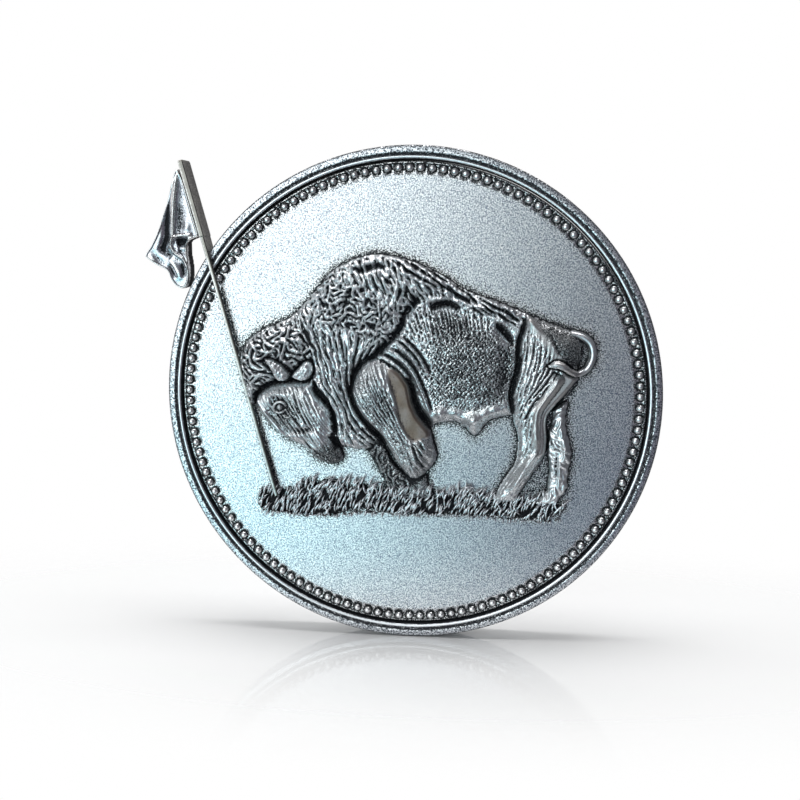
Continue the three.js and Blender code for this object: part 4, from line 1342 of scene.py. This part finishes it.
def build_lance():
    """A bar with bevelled edges, deep where it hangs past the coin's edge, with a stouter head."""
    foot = np.array(LANCE_FOOT)
    ahead = (np.array(LANCE_TOP) - foot) / LANCE_LENGTH
    across = np.array([ahead[1], -ahead[0]])
    points, rubbed, faces = [], [], []
    for at, half, front, back in LANCE_STATIONS:
        inner = half - LANCE_BEVEL
        middle = (front + back) / 2
        low, high = back + LANCE_BEVEL, front - LANCE_BEVEL
        ring = [(-half, low), (-inner, back), (inner, back), (half, low), (half, middle),
                (half, high), (inner, front), (-inner, front), (-half, high), (-half, middle)]
        points += [(*(foot + ahead * at + across * side), height) for side, height in ring]
        rubbed += [edge_highlight + brighter * (at < LEAVES_COIN) for edge_highlight, brighter in zip(LANCE_HIGHLIGHT, LANCE_BRIGHTER_FRONT)]
    rows = len(LANCE_SHADES)
    for a in range(0, len(points) - rows, rows):
        for k in range(rows):
            n = (k + 1) % rows
            faces.append((a + k, a + n, a + rows + n, a + rows + k))
    faces.append(tuple(range(rows)))
    faces.append(tuple(reversed(range(len(points) - rows, len(points)))))
    piece = make_piece("lance_bar", points, faces, "lance", smooth=False)
    face_outwards(piece)
    set_values(piece, "oxide", LANCE_SHADES * len(LANCE_STATIONS))
    set_values(piece, "rubbed", rubbed)
    piece.data.materials.append(lance_finish())


# grooves and ridges of the guidon's lower half: a path, its width, its rise and its taper
GUIDON_FOLDS = [
    # the edge of the fold that is pulled across, and the pocket under it
    ([(-24.6, 15.6), (-24.4, 16.2), (-23.9, 16.5), (-23.2, 16.55), (-22.3, 16.6)], 0.17, 0.26, 0.1),
    ([(-24.0, 15.75), (-23.4, 15.85), (-22.8, 15.9)], 0.42, -0.4, 0.2),
    ([(-23.9, 15.0), (-23.4, 14.9), (-23.0, 14.8)], 0.3, -0.15, 0.2),
    ([(-24.6, 15.5), (-24.4, 15.0), (-24.0, 14.6), (-23.4, 14.2), (-23.1, 13.7), (-22.95, 13.1)],
     0.13, 0.24, 0.1),
    # soft waves along the bottom
    ([(-26.6, 15.0), (-26.1, 14.2), (-25.3, 13.4)], 0.32, -0.1, 0.4),
    ([(-27.0, 14.9), (-26.6, 14.1), (-25.9, 13.6)], 0.3, 0.08, 0.4),
    ([(-25.9, 15.5), (-25.3, 14.9), (-24.6, 14.3)], 0.3, -0.16, 0.3),
    ([(-24.9, 14.2), (-24.3, 13.5), (-23.9, 12.7), (-23.7, 12.0)], 0.34, 0.16, 0.3),
    ([(-25.0, 13.6), (-24.5, 12.8), (-24.2, 12.2)], 0.2, -0.14, 0.3),
    ([(-23.6, 13.7), (-23.4, 13.0), (-23.4, 12.2)], 0.2, -0.16, 0.3),
]
# the crest of the long fold: v against u
GUIDON_CREST = ((-23.0, -20.0, -18.0, -16.5, -15.3, -14.0), (-23.7, -24.15, -24.3, -24.35, -24.75, -25.0))
GUIDON_BACK = -1.5


def build_guidon():
    """The hanging cloth: long folds that run down from the lance's tip, and one pulled across."""
    cloth = Grid(-28.0, -21.0, 10.6, 23.8, 0.06)
    depth = inside_distance(cloth.u, cloth.v, GUIDON)
    u, v = cloth.u, cloth.v
    h = np.full(cloth.shape, 0.34)
    beside = u - np.interp(-v, *GUIDON_CREST)
    # a long fold: a crest steep to the right at the top, falling into a valley on its left
    tall = ease(23.4 - v, 0, 2.0) * ease(v, 14.8, 16.2)
    h += 0.26 * tall * bell(beside / np.where(beside < 0, 0.3, 0.16))
    h -= 0.3 * ease(23.0 - v, 0, 3.0) * ease(v, 14.4, 15.6) * bell((beside + 0.75) / 0.36)
    # the cloth between the crest and the lance sags
    h -= 0.12 * bell((beside - 0.75) / 0.5) * ease(v, 16.6, 18.0)
    h += 0.14 * bell((u + 22.9) / 0.4) * bell((v - 17.4) / 0.7)
    h += 0.02 * cloth.noise(1.2)
    for path, width, rise, taper in GUIDON_FOLDS:
        cloth.ridge(h, path, width, rise, taper)
    # a rolled hem all round, rounded off at the edge
    h += 0.12 * bell((depth - 0.1) / 0.09)
    rounded = 0.2 * (1 - np.sqrt(np.clip(depth / 0.12, 0, 1)))
    cloth.height = h - np.where(depth > 0, rounded, 0.22)
    inside = depth > -0.02
    kept = inside[:-1, :-1] & inside[1:, :-1] & inside[:-1, 1:] & inside[1:, 1:]
    wide = cloth.blur(cloth.height, 0.4) - cloth.height
    edge = bell(np.clip(depth - 0.06, 0, None) / 0.09)
    oxide = np.clip(0.1 + 1.1 * ease(wide * 3.0, -0.08, 0.5) - 0.7 * edge, -0.2, 1)
    rubbed = np.maximum(edge, ease(-wide, 0.03, 0.1))
    piece, used, rim = relief_piece("guidon_cloth", cloth, "guidon", GUIDON_BACK, kept)
    finish_values(piece, used, rim, "oxide", oxide, wall=3.0, back=0.15)
    finish_values(piece, used, rim, "rubbed", rubbed, wall=0.0, back=1.0)
    finish = relief_finish("guidon_metal", bright=(0.6, 0.62, 0.67), warm=(0.84, 0.84, 0.84), rough=0.25)
    piece.data.materials.append(finish)


# ---- Camera, floor and light ----

CAMERA_OFFSET = (10.9, -103.9, 16.35)  # from the middle of the coin's face, in millimetres
CAMERA_TURN = (6.5, 8.92)  # azimuth and elevation, in degrees
LENS = 46.6


def set_camera():
    camera = bpy.data.objects.new("camera", bpy.data.cameras.new("camera"))
    bpy.context.scene.collection.objects.link(camera)
    camera.data.lens = LENS
    camera.data.clip_start, camera.data.clip_end = 0.005, 10.0
    rim_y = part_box("rim_ring")[0].y
    camera.location = Vector((0, rim_y, 0)) + Vector(CAMERA_OFFSET) * MM
    azimuth, elevation = map(math.radians, CAMERA_TURN)
    back = Vector((math.sin(azimuth) * math.cos(elevation), -math.cos(azimuth) * math.cos(elevation),
                   math.sin(elevation)))
    camera.rotation_mode = "QUATERNION"
    camera.rotation_quaternion = (-back).to_track_quat("-Z", "Y")
    bpy.context.scene.camera = camera


def area_light(name, where, size, power, colour):
    """A rectangular light that faces the coin's middle."""
    data = bpy.data.lights.new(name, "AREA")
    data.shape = "RECTANGLE"
    data.size, data.size_y = size
    data.energy = power
    data.color = colour
    light = bpy.data.objects.new(name, data)
    light.location = where
    light.rotation_mode = "QUATERNION"
    light.rotation_quaternion = (-where).to_track_quat("-Z", "Y")
    bpy.context.scene.collection.objects.link(light)


PANEL_DISTANCE = 0.35


def panel(name, azimuth, elevation, radiance, colour):
    """A soft light that fills the given span of directions, in degrees, as seen from the coin."""
    turn, rise = (math.radians(sum(span) / 2) for span in (azimuth, elevation))
    where = Vector((math.sin(turn) * math.cos(rise), -math.cos(turn) * math.cos(rise), math.sin(rise)))
    width, height = (2 * PANEL_DISTANCE * math.tan(math.radians(high - low) / 2)
                     for low, high in (azimuth, elevation))
    power = radiance * math.pi * width * height
    area_light(name, where * PANEL_DISTANCE, (width, height), power, colour)


def link(tree, *pairs):
    for out_socket, in_socket in pairs:
        tree.links.new(out_socket, in_socket)


FLOOR_SIZE = 1.0
FLOOR_REACH = (0.085, 0.034)  # how far the floor shows to either side, and to the front and back
FLOOR_GREY = (0.74, 0.74, 0.74)


def set_floor():
    """A pale floor that melts into the white of the backdrop a little way from the coin."""
    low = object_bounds()[0].z
    far = FLOOR_SIZE / 2
    mesh = bpy.data.meshes.new("floor")
    corners = [(-far, -far, low), (far, -far, low), (far, far, low), (-far, far, low)]
    mesh.from_pydata(corners, [], [(0, 1, 2, 3)])
    floor = bpy.data.objects.new("floor", mesh)
    bpy.context.scene.collection.objects.link(floor)
    f = Finish("floor", metallic=0.0, roughness=0.05)
    squeeze = f.node("ShaderNodeMapping")
    squeeze.inputs["Scale"].default_value = (1 / FLOOR_REACH[0], 1 / FLOOR_REACH[1], 0)
    squeeze.inputs["Location"].default_value = (0, -0.05, 0)
    away = f.node("ShaderNodeVectorMath")
    away.operation = "LENGTH"
    link(f.tree, (f.place_node.outputs["Object"], squeeze.inputs["Vector"]),
         (squeeze.outputs["Vector"], away.inputs[0]))
    shown = f.span(away.outputs["Value"], 0.2, 1.0, 1.0, 0.0)
    f.surface(Specular_IOR_Level=0.5, Base_Color=FLOOR_GREY, Alpha=shown)
    mesh.materials.append(f.material)


def set_world():
    """White behind the coin and dim in front of it, where the panels light it; white to the camera."""
    world = bpy.data.worlds.new("studio")
    bpy.context.scene.world = world
    world.use_nodes = True
    tree = world.node_tree
    tree.nodes.clear()

    def node(kind, **inputs):
        made = tree.nodes.new("ShaderNode" + kind)
        for key, value in inputs.items():
            made.inputs[key.replace("_", " ")].default_value = value
        return made

    output, mix, path = node("OutputWorld"), node("MixShader"), node("LightPath")
    direction, parts = node("TexCoord"), node("SeparateXYZ")
    behind = node("MapRange", From_Min=-0.25, From_Max=0.15)
    side = node("MapRange", From_Min=0.15, From_Max=0.6, To_Min=1.0, To_Max=0.15)
    behind.interpolation_type = side.interpolation_type = "SMOOTHSTEP"
    both, tint = node("Math"), node("Mix")
    both.operation = "MULTIPLY"
    tint.data_type = "RGBA"
    tint.inputs[6].default_value, tint.inputs[7].default_value = (0.06, 0.06, 0.07, 1), (1, 1, 1, 1)
    lit, seen = node("Background"), node("Background", Color=(1, 1, 1, 1))
    link(tree, (direction.outputs["Generated"], parts.inputs[0]),
         (parts.outputs["Y"], behind.inputs["Value"]), (parts.outputs["X"], side.inputs["Value"]),
         (behind.outputs["Result"], both.inputs[0]),
         (side.outputs["Result"], both.inputs[1]), (both.outputs[0], tint.inputs[0]),
         (tint.outputs[2], lit.inputs["Color"]), (path.outputs["Is Camera Ray"], mix.inputs[0]),
         (lit.outputs[0], mix.inputs[1]), (seen.outputs[0], mix.inputs[2]),
         (mix.outputs[0], output.inputs["Surface"]))


def set_stage():
    set_floor()
    set_world()
    panel("key", (-52, -5), (-8, 34), 2.15, (0.94, 1.0, 1.0))
    panel("beside_key", (-5, 2), (0, 30), 0.8, (0.76, 0.97, 1.0))
    panel("low_left", (-45, -7.8), (-30, -9), 1.98, (0.57, 0.94, 1.0))
    panel("low_right", (-4, 25), (-30, -12), 0.12, (0.6, 0.5, 1.0))
    panel("right", (8, 50), (-12, 30), 0.1, (1.0, 0.85, 1.0))
    area_light("top", Vector((0.0, -0.01, 0.5)), (0.5, 0.18), 2.3, (1, 1, 1))
    bpy.context.scene.view_settings.view_transform = "Standard"


set_camera()
build_bison()
build_disc()
build_rim()
build_beads()
build_turf()
build_lance()
build_guidon()
set_stage()
